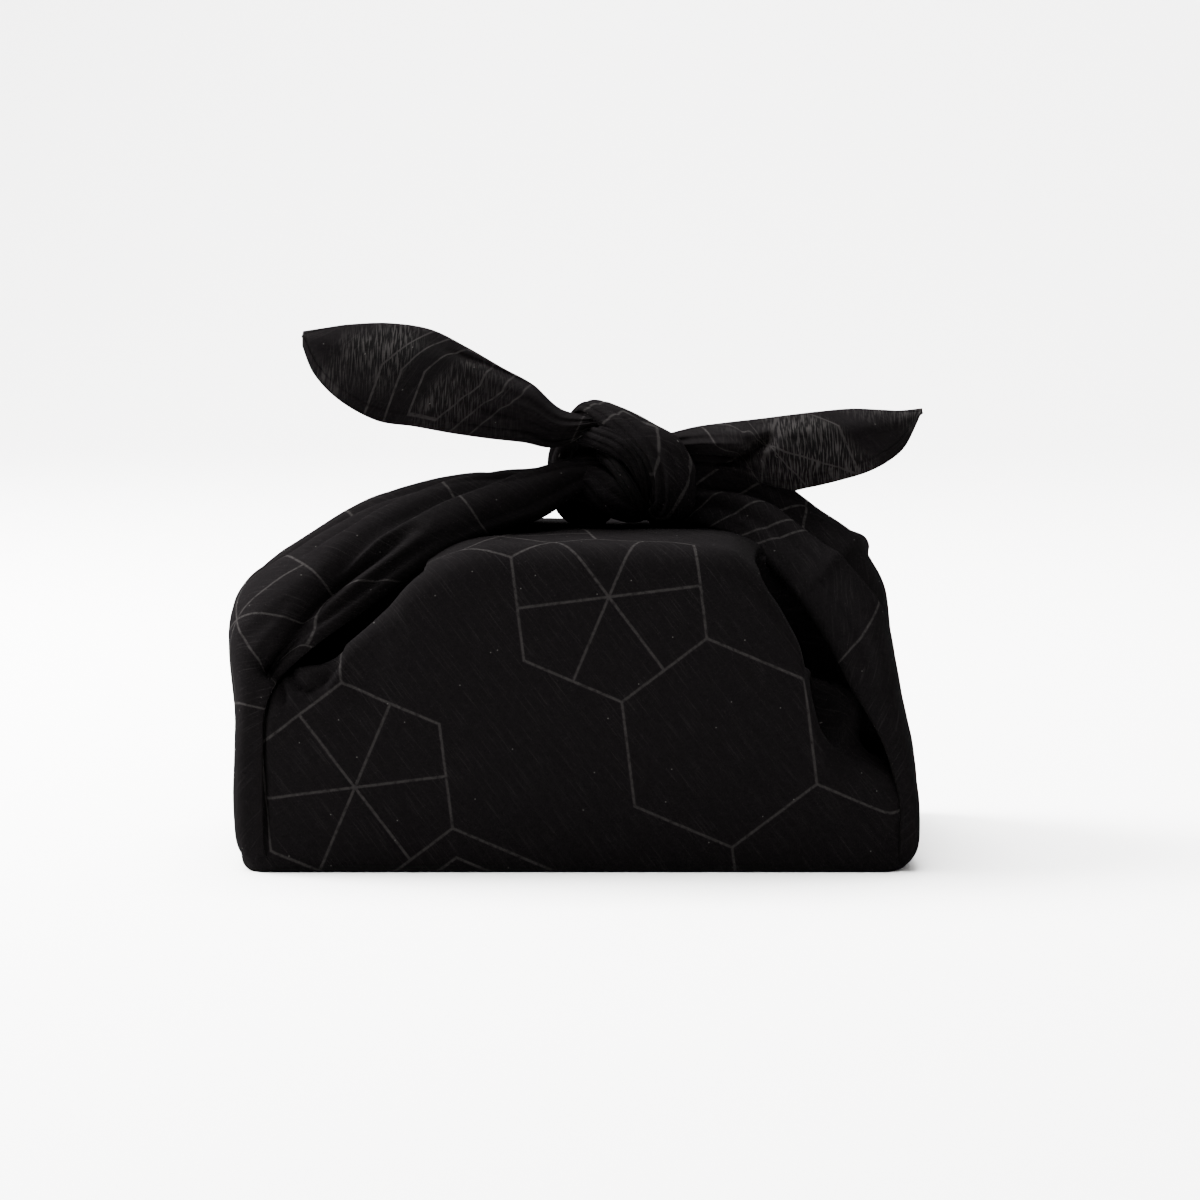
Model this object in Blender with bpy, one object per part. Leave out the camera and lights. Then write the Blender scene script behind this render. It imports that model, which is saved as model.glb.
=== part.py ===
"""A furoshiki wrap: one square of cotton, folded over a box and tied on top.

The cloth is one hollow solid. Its body is the part that lies round the box, the two
gathers climb from the sides to the knot, and the two loose corners end as leaves.
All sizes are in metres. X runs to the right, Y away from the viewer and Z up.
"""

import math
from collections import namedtuple

import bmesh
import bpy
from mathutils import Vector

# ---------------------------------------------------------------- driving dimensions
CLOTH = 0.0026           # thickness of the wall: the cotton and the fold behind it
HALF_DEPTH = 0.0640      # half of the body from front to back
RISE_RUN = 0.0340        # run over which the body's top climbs behind its ridge
FOOT_RADIUS = 0.0035     # rounding along the foot of the front and the back
RIDGE_RADIUS = 0.0075    # rounding along the top edge of the front and the back
GATHER_FOOT = 0.0009     # the gathers start this far above the surface
LEAF_WALL = 0.0016       # thickness of each layer of the two loose corners
COTTON = (0.016, 0.014, 0.015, 1.0)
COTTON_ROUGHNESS = 0.85
SHARP_EDGE = 50.0        # edges that turn more than this, in degrees, stay sharp

WALL_POINTS = 4          # points up the front and the back of one section of the body
ARC_POINTS = 3           # points round each of its rounded edges
TOP_POINTS = 6           # points from its ridge to the middle of its top
GATHER_COLUMNS = 18      # columns across a gather, front edge to back edge
GATHER_ROWS = 20         # rows from the foot of a gather to the knot
TURN_RING = 12           # points round one section of a turn of the knot
TURN_ROWS_PER_STEP = 2   # sections from one step of a turn to the next
LEAF_COLUMNS = 11        # columns across a loose corner, hem to hem
LEAF_ROWS = 13           # rows from the knot to its tip

# ---------------------------------------------------------------- short tables
# The body, station by station from left to right: how far its front and back are drawn in,
# the height of its foot and of the front's top edge (ridge), the further rise towards the
# middle (crown) and the level strip between the two (shelf).
Station = namedtuple("Station", "x drawn_in foot ridge crown shelf")
BODY = (
    Station(-0.1035, 0.0120, 0.0040, 0.0420, 0.0020, 0.0100),
    Station(-0.1022, 0.0060, 0.0015, 0.0500, 0.0060, 0.0100),
    Station(-0.0992, 0.0018, 0.0000, 0.0545, 0.0140, 0.0120),
    Station(-0.0945, 0.0000, 0.0000, 0.0560, 0.0200, 0.0140),
    Station(-0.0840, 0.0000, 0.0000, 0.0575, 0.0280, 0.0140),
    Station(-0.0770, 0.0000, 0.0000, 0.0615, 0.0280, 0.0140),
    Station(-0.0690, 0.0000, 0.0000, 0.0725, 0.0220, 0.0140),
    Station(-0.0590, 0.0000, 0.0000, 0.0820, 0.0140, 0.0140),
    Station(-0.0500, 0.0000, 0.0000, 0.0905, 0.0080, 0.0120),
    Station(-0.0400, 0.0000, 0.0000, 0.0965, 0.0035, 0.0080),
    Station(-0.0290, 0.0000, 0.0000, 0.0995, 0.0010, 0.0040),
    Station(0.0000, 0.0000, 0.0000, 0.1000, 0.0010, 0.0000),
    Station(0.0300, 0.0000, 0.0000, 0.1005, 0.0010, 0.0000),
    Station(0.0450, 0.0000, 0.0000, 0.0995, 0.0015, 0.0000),
    Station(0.0530, 0.0000, 0.0000, 0.0950, 0.0040, 0.0000),
    Station(0.0590, 0.0000, 0.0000, 0.0880, 0.0080, 0.0000),
    Station(0.0650, 0.0000, 0.0000, 0.0790, 0.0130, 0.0000),
    Station(0.0690, 0.0000, 0.0000, 0.0710, 0.0190, 0.0000),
    Station(0.0715, 0.0000, 0.0000, 0.0590, 0.0290, 0.0000),
    Station(0.0750, 0.0000, 0.0000, 0.0460, 0.0400, 0.0000),
    Station(0.0820, 0.0000, 0.0000, 0.0350, 0.0460, 0.0000),
    Station(0.0910, 0.0000, 0.0000, 0.0315, 0.0420, 0.0000),
    Station(0.0965, 0.0008, 0.0000, 0.0300, 0.0280, 0.0000),
    Station(0.1010, 0.0040, 0.0012, 0.0280, 0.0130, 0.0000),
    Station(0.1030, 0.0100, 0.0040, 0.0240, 0.0040, 0.0000),
)

# The gathers, from the foot of a side up to the knot: front edge, crest and back edge
# of each section, and how square the arch between them is (2 is an ellipse).
Arch = namedtuple("Arch", "front crest back square")
LEFT_GATHER = (
    Arch((-0.0950, -0.0625, 0.000), (-0.1005, 0.000, 0.000), (-0.0950, 0.0625, 0.000), 6.0),
    Arch((-0.0960, -0.0640, 0.008), (-0.1045, 0.000, 0.008), (-0.0960, 0.0640, 0.008), 6.0),
    Arch((-0.0962, -0.0645, 0.022), (-0.1056, 0.000, 0.022), (-0.0962, 0.0645, 0.022), 6.0),
    Arch((-0.0962, -0.0645, 0.038), (-0.1060, 0.000, 0.038), (-0.0962, 0.0645, 0.038), 5.5),
    Arch((-0.0956, -0.0640, 0.051), (-0.1064, 0.000, 0.056), (-0.0956, 0.0640, 0.051), 4.5),
    Arch((-0.0920, -0.0620, 0.060), (-0.1085, 0.000, 0.073), (-0.0920, 0.0620, 0.060), 3.6),
    Arch((-0.0840, -0.0585, 0.067), (-0.1040, 0.000, 0.086), (-0.0840, 0.0585, 0.067), 3.0),
    Arch((-0.0695, -0.0500, 0.077), (-0.0855, 0.000, 0.099), (-0.0695, 0.0500, 0.077), 2.7),
    Arch((-0.0540, -0.0420, 0.088), (-0.0665, 0.000, 0.110), (-0.0540, 0.0420, 0.088), 2.4),
    Arch((-0.0390, -0.0340, 0.097), (-0.0480, 0.000, 0.116), (-0.0390, 0.0340, 0.097), 2.3),
    Arch((-0.0240, -0.0260, 0.104), (-0.0300, 0.000, 0.121), (-0.0240, 0.0260, 0.104), 2.2),
    Arch((-0.0110, -0.0190, 0.107), (-0.0140, 0.000, 0.1225), (-0.0110, 0.0190, 0.107), 2.2),
    Arch((0.0000, -0.0125, 0.110), (-0.0010, 0.000, 0.124), (0.0000, 0.0125, 0.110), 2.2),
    Arch((0.0090, -0.0085, 0.111), (0.0090, 0.000, 0.123), (0.0090, 0.0085, 0.111), 2.2),
)
RIGHT_GATHER = (
    Arch((0.0985, -0.0615, 0.000), (0.1010, 0.000, 0.000), (0.0985, 0.0615, 0.000), 6.0),
    Arch((0.0995, -0.0625, 0.008), (0.1062, 0.000, 0.008), (0.0995, 0.0625, 0.008), 6.0),
    Arch((0.0995, -0.0620, 0.022), (0.1060, 0.000, 0.022), (0.0995, 0.0620, 0.022), 5.5),
    Arch((0.0955, -0.0590, 0.037), (0.1045, 0.000, 0.037), (0.0955, 0.0590, 0.037), 5.0),
    Arch((0.0905, -0.0545, 0.049), (0.1015, 0.000, 0.052), (0.0905, 0.0545, 0.049), 4.2),
    Arch((0.0860, -0.0500, 0.058), (0.0998, 0.000, 0.068), (0.0860, 0.0500, 0.058), 3.6),
    Arch((0.0790, -0.0440, 0.070), (0.0980, 0.000, 0.084), (0.0790, 0.0440, 0.070), 3.1),
    Arch((0.0700, -0.0370, 0.080), (0.0895, 0.000, 0.097), (0.0700, 0.0370, 0.080), 2.8),
    Arch((0.0600, -0.0290, 0.090), (0.0775, 0.000, 0.105), (0.0600, 0.0290, 0.090), 2.5),
    Arch((0.0500, -0.0200, 0.101), (0.0640, 0.000, 0.1135), (0.0500, 0.0200, 0.101), 2.4),
    Arch((0.0410, -0.0120, 0.108), (0.0500, 0.000, 0.1205), (0.0410, 0.0120, 0.108), 2.3),
    Arch((0.0310, -0.0085, 0.109), (0.0350, 0.000, 0.121), (0.0310, 0.0085, 0.109), 2.2),
)

# Valleys between the rolls of a gather: their places across it at the side and at the
# knot, 0 at its front edge and 1 at its back, with their depth and half their width.
Valley = namedtuple("Valley", "side knot depth reach")
LEFT_VALLEYS = (
    Valley(0.09, 0.26, 0.0060, 0.040),
    Valley(0.20, 0.40, 0.0055, 0.045),
    Valley(0.62, 0.62, 0.0055, 0.050),
    Valley(0.85, 0.78, 0.0060, 0.045),
)
RIGHT_VALLEYS = (
    Valley(0.16, 0.30, 0.0050, 0.045),
    Valley(0.34, 0.50, 0.0060, 0.045),
    Valley(0.66, 0.68, 0.0055, 0.050),
    Valley(0.86, 0.82, 0.0050, 0.045),
)
VALLEY_START = 0.26      # climb at which the valleys open, and over how much of it
VALLEY_RUN = 0.26
CLOSING_START = 0.60     # climb at which they close again towards the knot
CLOSING_RUN = 0.30
KNOT_SPREAD = 1.2        # how much wider the valleys are at the knot, as a share
KNOT_CLOSING = 0.75      # how much shallower they are there, as a share

# The turns of the knot, through the middle of the gathered cloth. facing is the way the
# flat side looks, in degrees from the front over the top to the back.
Step = namedtuple("Step", "x y z width thick facing")
STEP_LOOK = 0.02         # share of a turn looked ahead and back to find its direction
KNOT_CORE = (
    Step(-0.0050, 0.0000, 0.1190, 0.017, 0.013, 0),
    Step(0.0060, 0.0000, 0.1200, 0.025, 0.016, 0),
    Step(0.0200, 0.0000, 0.1190, 0.027, 0.021, 0),
    Step(0.0320, 0.0000, 0.1180, 0.024, 0.018, 0),
    Step(0.0420, 0.0000, 0.1180, 0.015, 0.012, 0),
)
FRONT_WRAP = (
    Step(-0.0010, 0.0040, 0.1300, 0.012, 0.008, 90),
    Step(0.0050, 0.0010, 0.1350, 0.014, 0.009, 82),
    Step(0.0120, -0.0035, 0.1335, 0.016, 0.009, 68),
    Step(0.0190, -0.0075, 0.1290, 0.017, 0.009, 50),
    Step(0.0268, -0.0105, 0.1238, 0.018, 0.009, 28),
    Step(0.0305, -0.0115, 0.1165, 0.018, 0.010, 5),
    Step(0.0305, -0.0090, 0.1095, 0.017, 0.010, -25),
    Step(0.0270, -0.0020, 0.1070, 0.014, 0.008, -50),
)
INNER_TURN = (
    Step(0.0000, 0.0020, 0.1280, 0.009, 0.008, 40),
    Step(0.0065, -0.0040, 0.1290, 0.010, 0.009, 35),
    Step(0.0125, -0.0085, 0.1265, 0.010, 0.009, 25),
    Step(0.0165, -0.0100, 0.1215, 0.010, 0.009, 10),
    Step(0.0180, -0.0085, 0.1155, 0.009, 0.008, 0),
    Step(0.0180, -0.0030, 0.1110, 0.008, 0.007, -20),
)
BULB = (
    Step(0.0000, 0.0010, 0.1125, 0.013, 0.010, 0),
    Step(0.0065, -0.0060, 0.1135, 0.017, 0.011, 0),
    Step(0.0140, -0.0085, 0.1120, 0.017, 0.011, -5),
    Step(0.0215, -0.0055, 0.1105, 0.014, 0.010, -10),
    Step(0.0280, 0.0000, 0.1095, 0.010, 0.008, -20),
)
BACK_WRAP = (
    Step(0.0110, 0.0040, 0.1310, 0.012, 0.008, 120),
    Step(0.0035, 0.0085, 0.1295, 0.015, 0.009, 140),
    Step(-0.0005, 0.0110, 0.1225, 0.016, 0.009, 165),
    Step(0.0005, 0.0110, 0.1150, 0.016, 0.009, 185),
    Step(0.0060, 0.0075, 0.1090, 0.015, 0.009, 210),
    Step(0.0130, 0.0020, 0.1075, 0.012, 0.008, 230),
)

# The loose corners, from the knot to the tip: top and bottom edge, the front's bulge,
# how far apart its two layers stand, and how much of the height the back layer covers.
Leaf = namedtuple("Leaf", "top_x top_z foot_x foot_z bulge gap behind")
FOLD_POWER = 6.0         # how tight the fold along the top of a loose corner is
LEFT_LEAF = (
    Leaf(0.0060, 0.1375, 0.0060, 0.1290, 0.004, 0.0070, 0.85),
    Leaf(-0.0045, 0.1386, -0.0065, 0.1268, 0.005, 0.0080, 0.85),
    Leaf(-0.0140, 0.1466, -0.0170, 0.1284, 0.007, 0.0090, 0.80),
    Leaf(-0.0240, 0.1522, -0.0280, 0.1296, 0.008, 0.0090, 0.72),
    Leaf(-0.0350, 0.1586, -0.0390, 0.1312, 0.009, 0.0085, 0.62),
    Leaf(-0.0465, 0.1642, -0.0515, 0.1334, 0.009, 0.0075, 0.50),
    Leaf(-0.0595, 0.1662, -0.0635, 0.1352, 0.008, 0.0060, 0.38),
    Leaf(-0.0720, 0.1658, -0.0755, 0.1417, 0.006, 0.0050, 0.26),
    Leaf(-0.0800, 0.1647, -0.0835, 0.1500, 0.004, 0.0044, 0.18),
    Leaf(-0.0870, 0.1636, -0.0872, 0.1590, 0.001, 0.0040, 0.12),
)
RIGHT_LEAF = (
    Leaf(0.0290, 0.1310, 0.0330, 0.1215, 0.004, 0.0070, 0.85),
    Leaf(0.0380, 0.1332, 0.0430, 0.1205, 0.005, 0.0080, 0.85),
    Leaf(0.0480, 0.1346, 0.0520, 0.1182, 0.007, 0.0085, 0.80),
    Leaf(0.0590, 0.1359, 0.0640, 0.1127, 0.008, 0.0085, 0.72),
    Leaf(0.0690, 0.1372, 0.0735, 0.1139, 0.008, 0.0080, 0.62),
    Leaf(0.0790, 0.1383, 0.0830, 0.1161, 0.008, 0.0070, 0.50),
    Leaf(0.0880, 0.1390, 0.0920, 0.1187, 0.007, 0.0060, 0.38),
    Leaf(0.0960, 0.1387, 0.0990, 0.1222, 0.005, 0.0050, 0.28),
    Leaf(0.1030, 0.1384, 0.1045, 0.1270, 0.003, 0.0044, 0.20),
    Leaf(0.1100, 0.1391, 0.1085, 0.1350, 0.001, 0.0040, 0.14),
)

# The way into the body, a lens-shaped gap in the recess beside the right gather.
MOUTH_TOP = (0.0660, 0.0800)     # its upper end, x and z
MOUTH_FOOT = (0.0885, 0.0410)    # its lower end
MOUTH_WIDTH = 0.0105
MOUTH_LEAN = 0.0020      # how far the gap bows towards the gather
MOUTH_SWELL = 0.6        # how quickly it widens from its ends, 1 is a sine
MOUTH_FRONT = -0.0900    # the cutter runs from here
MOUTH_BACK = -0.0200     # to here
MOUTH_POINTS = 7         # points along each edge of the gap

# The slot above it, behind the front's edge where that falls to the recess.
SLOT_X = (0.0630, 0.0745)
SLOT_Y = (-0.0600, -0.0480)
SLOT_Z = (0.0490, 0.0880)

# ---------------------------------------------------------------- curves
def smooth(t):
    """Ease from 0 to 1 with level ends."""
    t = min(1.0, max(0.0, t))
    return t * t * (3.0 - 2.0 * t)


def signed_power(value, power):
    """Raise the size of a value to a power and keep its sign."""
    return math.copysign(abs(value) ** power, value)


def spline(rows, t):
    """Read a Catmull-Rom curve through rows of equal length at t from 0 to 1."""
    place = t * (len(rows) - 1)
    index = min(int(place), len(rows) - 2)
    local = place - index
    before = rows[max(index - 1, 0)]
    after = rows[min(index + 2, len(rows) - 1)]
    result = []
    for a, b, c, d in zip(before, rows[index], rows[index + 1], after):
        bend = (2.0 * a - 5.0 * b + 4.0 * c - d) * local + (3.0 * b - a - 3.0 * c + d) * local * local
        result.append(b + 0.5 * local * (c - a + bend))
    return result


# ---------------------------------------------------------------- mesh helpers
def new_object(name, mesh_edit):
    """Write a bmesh, with its faces turned outwards, to a new object."""
    bmesh.ops.recalc_face_normals(mesh_edit, faces=mesh_edit.faces)
    mesh = bpy.data.meshes.new(name)
    mesh_edit.to_mesh(mesh)
    mesh_edit.free()
    made = bpy.data.objects.new(name, mesh)
    bpy.context.scene.collection.objects.link(made)
    return made


def skin(name, rings):
    """Close a row of rings of equal length into one solid, each end a fan about its hub."""
    work = bmesh.new()
    rows = [[work.verts.new(point) for point in ring] for ring in rings]
    count = len(rows[0])
    for lower, upper in zip(rows, rows[1:]):
        for i in range(count):
            j = (i + 1) % count
            work.faces.new((lower[i], lower[j], upper[j], upper[i]))
    for row, ring in ((rows[0], rings[0]), (rows[-1], rings[-1])):
        hub = work.verts.new(sum(ring, Vector()) / count)
        for i in range(count):
            work.faces.new((row[i], row[(i + 1) % count], hub))
    bmesh.ops.triangulate(work, faces=work.faces)
    return new_object(name, work)


def plate(name, outer, inner):
    """Close two grids of points, the faces of one sheet, along their four edges."""
    work = bmesh.new()
    sides = [[[work.verts.new(point) for point in row] for row in grid] for grid in (outer, inner)]
    rows = len(outer)
    columns = len(outer[0])
    for side in sides:
        for r in range(rows - 1):
            for c in range(columns - 1):
                work.faces.new((side[r][c], side[r][c + 1], side[r + 1][c + 1], side[r + 1][c]))
    front, back = sides
    for r in range(rows - 1):
        for c in (0, columns - 1):
            work.faces.new((front[r][c], front[r + 1][c], back[r + 1][c], back[r][c]))
    for c in range(columns - 1):
        for r in (0, rows - 1):
            work.faces.new((front[r][c], front[r][c + 1], back[r][c + 1], back[r][c]))
    bmesh.ops.triangulate(work, faces=work.faces)
    return new_object(name, work)


def grid_of(rows, columns, place):
    """Points of place(along, across) on an even grid, both running from 0 to 1."""
    return [[place(r / (rows - 1), c / (columns - 1)) for c in range(columns)] for r in range(rows)]


def combine(target, tool, operation):
    """Apply a Boolean with a tool object to the target, and remove the tool."""
    cut = target.modifiers.new(operation.lower(), "BOOLEAN")
    cut.operation = operation
    cut.object = tool
    cut.solver = "EXACT"
    view = bpy.context.evaluated_depsgraph_get()
    mesh = bpy.data.meshes.new_from_object(target.evaluated_get(view))
    target.modifiers.clear()
    target.data = mesh
    bpy.data.objects.remove(tool)


# ---------------------------------------------------------------- the body
def top_height(station, y):
    """Height of the body's top at a distance y from the middle."""
    run = (HALF_DEPTH - station.drawn_in - RIDGE_RADIUS - station.shelf - y) / RISE_RUN
    return station.ridge + station.crown * smooth(run)


def half_section(station):
    """The front half of one section of the body, from its foot up to the middle of its top."""
    depth = HALF_DEPTH - station.drawn_in
    points = []
    for i in range(ARC_POINTS):
        turn = 0.5 * math.pi * i / (ARC_POINTS - 1)
        y = depth - FOOT_RADIUS * (1.0 - math.sin(turn))
        points.append((y, station.foot + FOOT_RADIUS * (1.0 - math.cos(turn))))
    bottom = station.foot + FOOT_RADIUS
    height = station.ridge - RIDGE_RADIUS - bottom
    for i in range(1, WALL_POINTS):
        points.append((depth, bottom + height * i / WALL_POINTS))
    for i in range(ARC_POINTS):
        turn = 0.5 * math.pi * i / (ARC_POINTS - 1)
        y = depth - RIDGE_RADIUS * (1.0 - math.cos(turn))
        points.append((y, station.ridge - RIDGE_RADIUS * (1.0 - math.sin(turn))))
    level = depth - RIDGE_RADIUS
    for i in range(1, TOP_POINTS):
        y = level * (1.0 - i / TOP_POINTS)
        points.append((y, top_height(station, y)))
    return points


def body_ring(station):
    """One closed section of the body."""
    half = half_section(station)
    ring = [Vector((station.x, -y, z)) for y, z in half]
    ring.append(Vector((station.x, 0.0, top_height(station, 0.0))))
    ring.extend(Vector((station.x, y, z)) for y, z in reversed(half))
    ring.append(Vector((station.x, 0.0, station.foot)))
    return ring


def inward(rings):
    """The rings between the two rounded ends, moved into the cloth by its thickness."""
    moved = []
    for r in range(2, len(rings) - 2):
        line = []
        count = len(rings[r])
        for i in range(count):
            along = rings[r + 1][i] - rings[r - 1][i]
            across = rings[r][(i + 1) % count] - rings[r][i - 1]
            line.append(rings[r][i] + across.cross(along).normalized() * CLOTH)
        moved.append(line)
    return moved


def build_body():
    """The cloth round the box, hollow, still without its mouth."""
    rings = [body_ring(station) for station in BODY]
    shell = skin("wrap_cloth", rings)
    combine(shell, skin("hollow", inward(rings)), "DIFFERENCE")
    return shell


# ---------------------------------------------------------------- the gathers
def valley_depth(valleys, climb, across):
    """How far the valleys between the rolls sink at a place on a gather."""
    depth = 0.0
    for valley in valleys:
        place = valley.side + (valley.knot - valley.side) * smooth(climb)
        reach = valley.reach * (1.0 + KNOT_SPREAD * smooth(climb))
        depth += valley.depth * math.exp(-((across - place) / reach) ** 2)
    closing = 1.0 - KNOT_CLOSING * smooth((climb - CLOSING_START) / CLOSING_RUN)
    return depth * smooth((climb - VALLEY_START) / VALLEY_RUN) * closing


def gather_point(arches, valleys, climb, across, inset):
    """A point on a gather: climb runs from foot to knot, across from front to back."""
    rows = [(*arch.front, *arch.crest, *arch.back, arch.square) for arch in arches]
    values = spline(rows, climb)
    front, crest, back = Vector(values[0:3]), Vector(values[3:6]), Vector(values[6:9])
    power = 2.0 / values[9]
    angle = math.pi * across
    middle = (front + back) / 2.0
    half = (front - back) / 2.0
    lift = crest - middle
    outward = half.normalized() * math.cos(angle) + lift.normalized() * math.sin(angle)
    half *= 1.0 - inset / half.length
    lift *= 1.0 - inset / lift.length
    point = middle + half * signed_power(math.cos(angle), power) + lift * math.sin(angle) ** power
    point -= outward * valley_depth(valleys, climb, across)
    point.z = max(point.z, GATHER_FOOT)
    return point


def build_gather(name, arches, valleys):
    """The cloth of one side, gathered from its foot to the knot."""
    faces = []
    for inset in (0.0, CLOTH):
        def place(climb, across, inset=inset):
            return gather_point(arches, valleys, climb, across, inset)
        faces.append(grid_of(GATHER_ROWS, GATHER_COLUMNS, place))
    return plate(name, *faces)


# ---------------------------------------------------------------- the knot
def turn_ring(steps, t):
    """One section of a turn: a flattened ring that looks the way its steps say."""
    x, y, z, width, thick, facing = spline(steps, t)
    ahead = Vector(spline(steps, min(t + STEP_LOOK, 1.0))[0:3])
    behind = Vector(spline(steps, max(t - STEP_LOOK, 0.0))[0:3])
    along = (ahead - behind).normalized()
    look = Vector((0.0, -math.cos(math.radians(facing)), math.sin(math.radians(facing))))
    look = (look - along * look.dot(along)).normalized()
    wide = along.cross(look)
    ring = []
    for i in range(TURN_RING):
        angle = 2.0 * math.pi * i / TURN_RING
        offset = wide * (width / 2.0 * math.cos(angle)) + look * (thick / 2.0 * math.sin(angle))
        ring.append(Vector((x, y, z)) + offset)
    return ring


def build_turn(name, steps):
    """One turn of gathered cloth in the knot, rounded off at both ends."""
    rows = TURN_ROWS_PER_STEP * (len(steps) - 1) + 1
    return skin(name, [turn_ring(steps, r / (rows - 1)) for r in range(rows)])


# ---------------------------------------------------------------- the loose corners
def leaf_point(leaves, along, across, inset):
    """A point on a loose corner: across runs up the front, over the top and down behind."""
    top_x, top_z, foot_x, foot_z, bulge, gap, behind = spline(leaves, along)
    front_share = 1.0 / (1.0 + behind)
    if across <= front_share:
        rise = across / front_share
        depth = inset - gap / 2.0 - bulge * math.sin(math.pi * rise)
    else:
        rise = 1.0 - behind * (across - front_share) / (1.0 - front_share)
        depth = gap / 2.0 - inset
    foot = Vector((foot_x, 0.0, foot_z))
    top = Vector((top_x, 0.0, top_z))
    point = foot.lerp(top - (top - foot).normalized() * inset, rise)
    point.y = depth * math.sqrt(max(1.0 - rise ** FOLD_POWER, 0.0))
    return point


def build_leaf(name, leaves):
    """A loose corner of the cloth, folded over along its top."""
    faces = []
    for inset in (0.0, LEAF_WALL):
        def place(along, across, inset=inset):
            return leaf_point(leaves, along, across, inset)
        faces.append(grid_of(LEAF_ROWS, LEAF_COLUMNS, place))
    return plate(name, *faces)


# ---------------------------------------------------------------- the mouth
def build_mouth():
    """The cutter for the way into the body, a slanted lens along the recess."""
    top = Vector((MOUTH_TOP[0], 0.0, MOUTH_TOP[1]))
    foot = Vector((MOUTH_FOOT[0], 0.0, MOUTH_FOOT[1]))
    run = (foot - top).normalized()
    side = Vector((-run.z, 0.0, run.x))
    outline = []
    for half in (MOUTH_WIDTH / 2.0, -MOUTH_WIDTH / 2.0):
        edge = []
        for i in range(MOUTH_POINTS):
            t = (i + 0.5) / MOUTH_POINTS
            swell = math.sin(math.pi * t) ** MOUTH_SWELL
            edge.append(top.lerp(foot, t) + side * (half + MOUTH_LEAN) * swell)
        outline.extend(edge if half > 0.0 else reversed(edge))
    rings = []
    for y in (MOUTH_FRONT, MOUTH_BACK):
        rings.append([Vector((point.x, y, point.z)) for point in outline])
    return skin("mouth", rings)


def build_slot():
    """The cutter for the slot behind the front's edge, which leads down into the body."""
    corners = ((0, 0), (1, 0), (1, 1), (0, 1))
    return skin("slot", [[Vector((SLOT_X[i], SLOT_Y[j], z)) for i, j in corners] for z in SLOT_Z])


# ---------------------------------------------------------------- the finish and the whole
def cotton():
    """Near-black cotton with a dull face."""
    made = bpy.data.materials.new("black_cotton")
    made.use_nodes = True
    shader = made.node_tree.nodes["Principled BSDF"]
    shader.inputs["Base Color"].default_value = COTTON
    shader.inputs["Roughness"].default_value = COTTON_ROUGHNESS
    shader.inputs["Metallic"].default_value = 0.0
    return made


def main():
    """Build the wrap as one solid."""
    for old in list(bpy.data.objects):
        bpy.data.objects.remove(old)
    wrap = build_body()
    combine(wrap, build_gather("left_gather", LEFT_GATHER, LEFT_VALLEYS), "UNION")
    combine(wrap, build_gather("right_gather", RIGHT_GATHER, RIGHT_VALLEYS), "UNION")
    combine(wrap, build_mouth(), "DIFFERENCE")
    combine(wrap, build_slot(), "DIFFERENCE")
    for steps in (KNOT_CORE, BACK_WRAP, BULB, INNER_TURN, FRONT_WRAP):
        combine(wrap, build_turn("turn", steps), "UNION")
    combine(wrap, build_leaf("left_leaf", LEFT_LEAF), "UNION")
    combine(wrap, build_leaf("right_leaf", RIGHT_LEAF), "UNION")
    wrap.data.materials.clear()
    wrap.data.materials.append(cotton())
    wrap.data.shade_smooth()
    wrap.data.set_sharp_from_angle(angle=math.radians(SHARP_EDGE))


if __name__ == "__main__":
    main()
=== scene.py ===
"""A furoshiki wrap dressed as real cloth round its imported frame.

One square of dark slub cotton lies round a box. Its two sides climb as gathers to a knot
on top, and the two loose corners stand out of the knot as leaves. Every part of the cloth
is a curved sheet or a pleated turn of it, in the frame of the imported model. The tables of
the wrap, near the end, are in millimetres and degrees. All the rest is in metres.
"""

import functools
import logging
import math
from dataclasses import dataclass
from enum import Enum
from typing import NamedTuple, TypeVar

import bpy
import numpy as np
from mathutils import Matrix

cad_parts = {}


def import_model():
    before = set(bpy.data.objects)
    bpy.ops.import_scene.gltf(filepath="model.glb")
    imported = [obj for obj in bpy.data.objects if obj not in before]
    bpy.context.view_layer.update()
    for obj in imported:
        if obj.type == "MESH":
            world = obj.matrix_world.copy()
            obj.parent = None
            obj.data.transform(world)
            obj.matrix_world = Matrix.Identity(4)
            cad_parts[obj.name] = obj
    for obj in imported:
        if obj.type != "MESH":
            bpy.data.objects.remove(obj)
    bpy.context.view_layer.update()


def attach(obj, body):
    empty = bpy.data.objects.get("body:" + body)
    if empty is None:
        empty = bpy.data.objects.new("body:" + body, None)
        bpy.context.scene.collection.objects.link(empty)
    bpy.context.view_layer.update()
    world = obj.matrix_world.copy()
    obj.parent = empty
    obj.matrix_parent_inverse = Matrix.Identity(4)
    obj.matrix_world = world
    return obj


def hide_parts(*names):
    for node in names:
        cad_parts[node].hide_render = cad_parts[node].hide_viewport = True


LOG = logging.getLogger("furoshiki")

Row = TypeVar("Row")
Array = np.ndarray
Colour = tuple[float, float, float, float]
Point = tuple[float, float, float]
Span = tuple[float, float]
Path = tuple[Span, ...]
Socket = bpy.types.NodeSocket
Piece = bpy.types.Object

NODE = "wrap_cloth"
BODY = "root"
UV_MAP = "cloth"

MM = 0.001
FULL_TURN = 2.0 * math.pi
SIXTHS = np.array([0.0, 60.0, 120.0])    # the three ways of a hexagon, in degrees
SQUARE = 0.700           # side of the cloth as it was cut
BOX_TURN = 8.0           # the box was set down this far off the cloth's diagonal, degrees


class Held(Enum):
    """How a part of the cloth is held."""

    FOLDED = "folded"
    GATHERED = "gathered"


class Side(Enum):
    """The side of the wrap that a gather or a loose corner belongs to."""

    LEFT = -1
    RIGHT = 1


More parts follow.
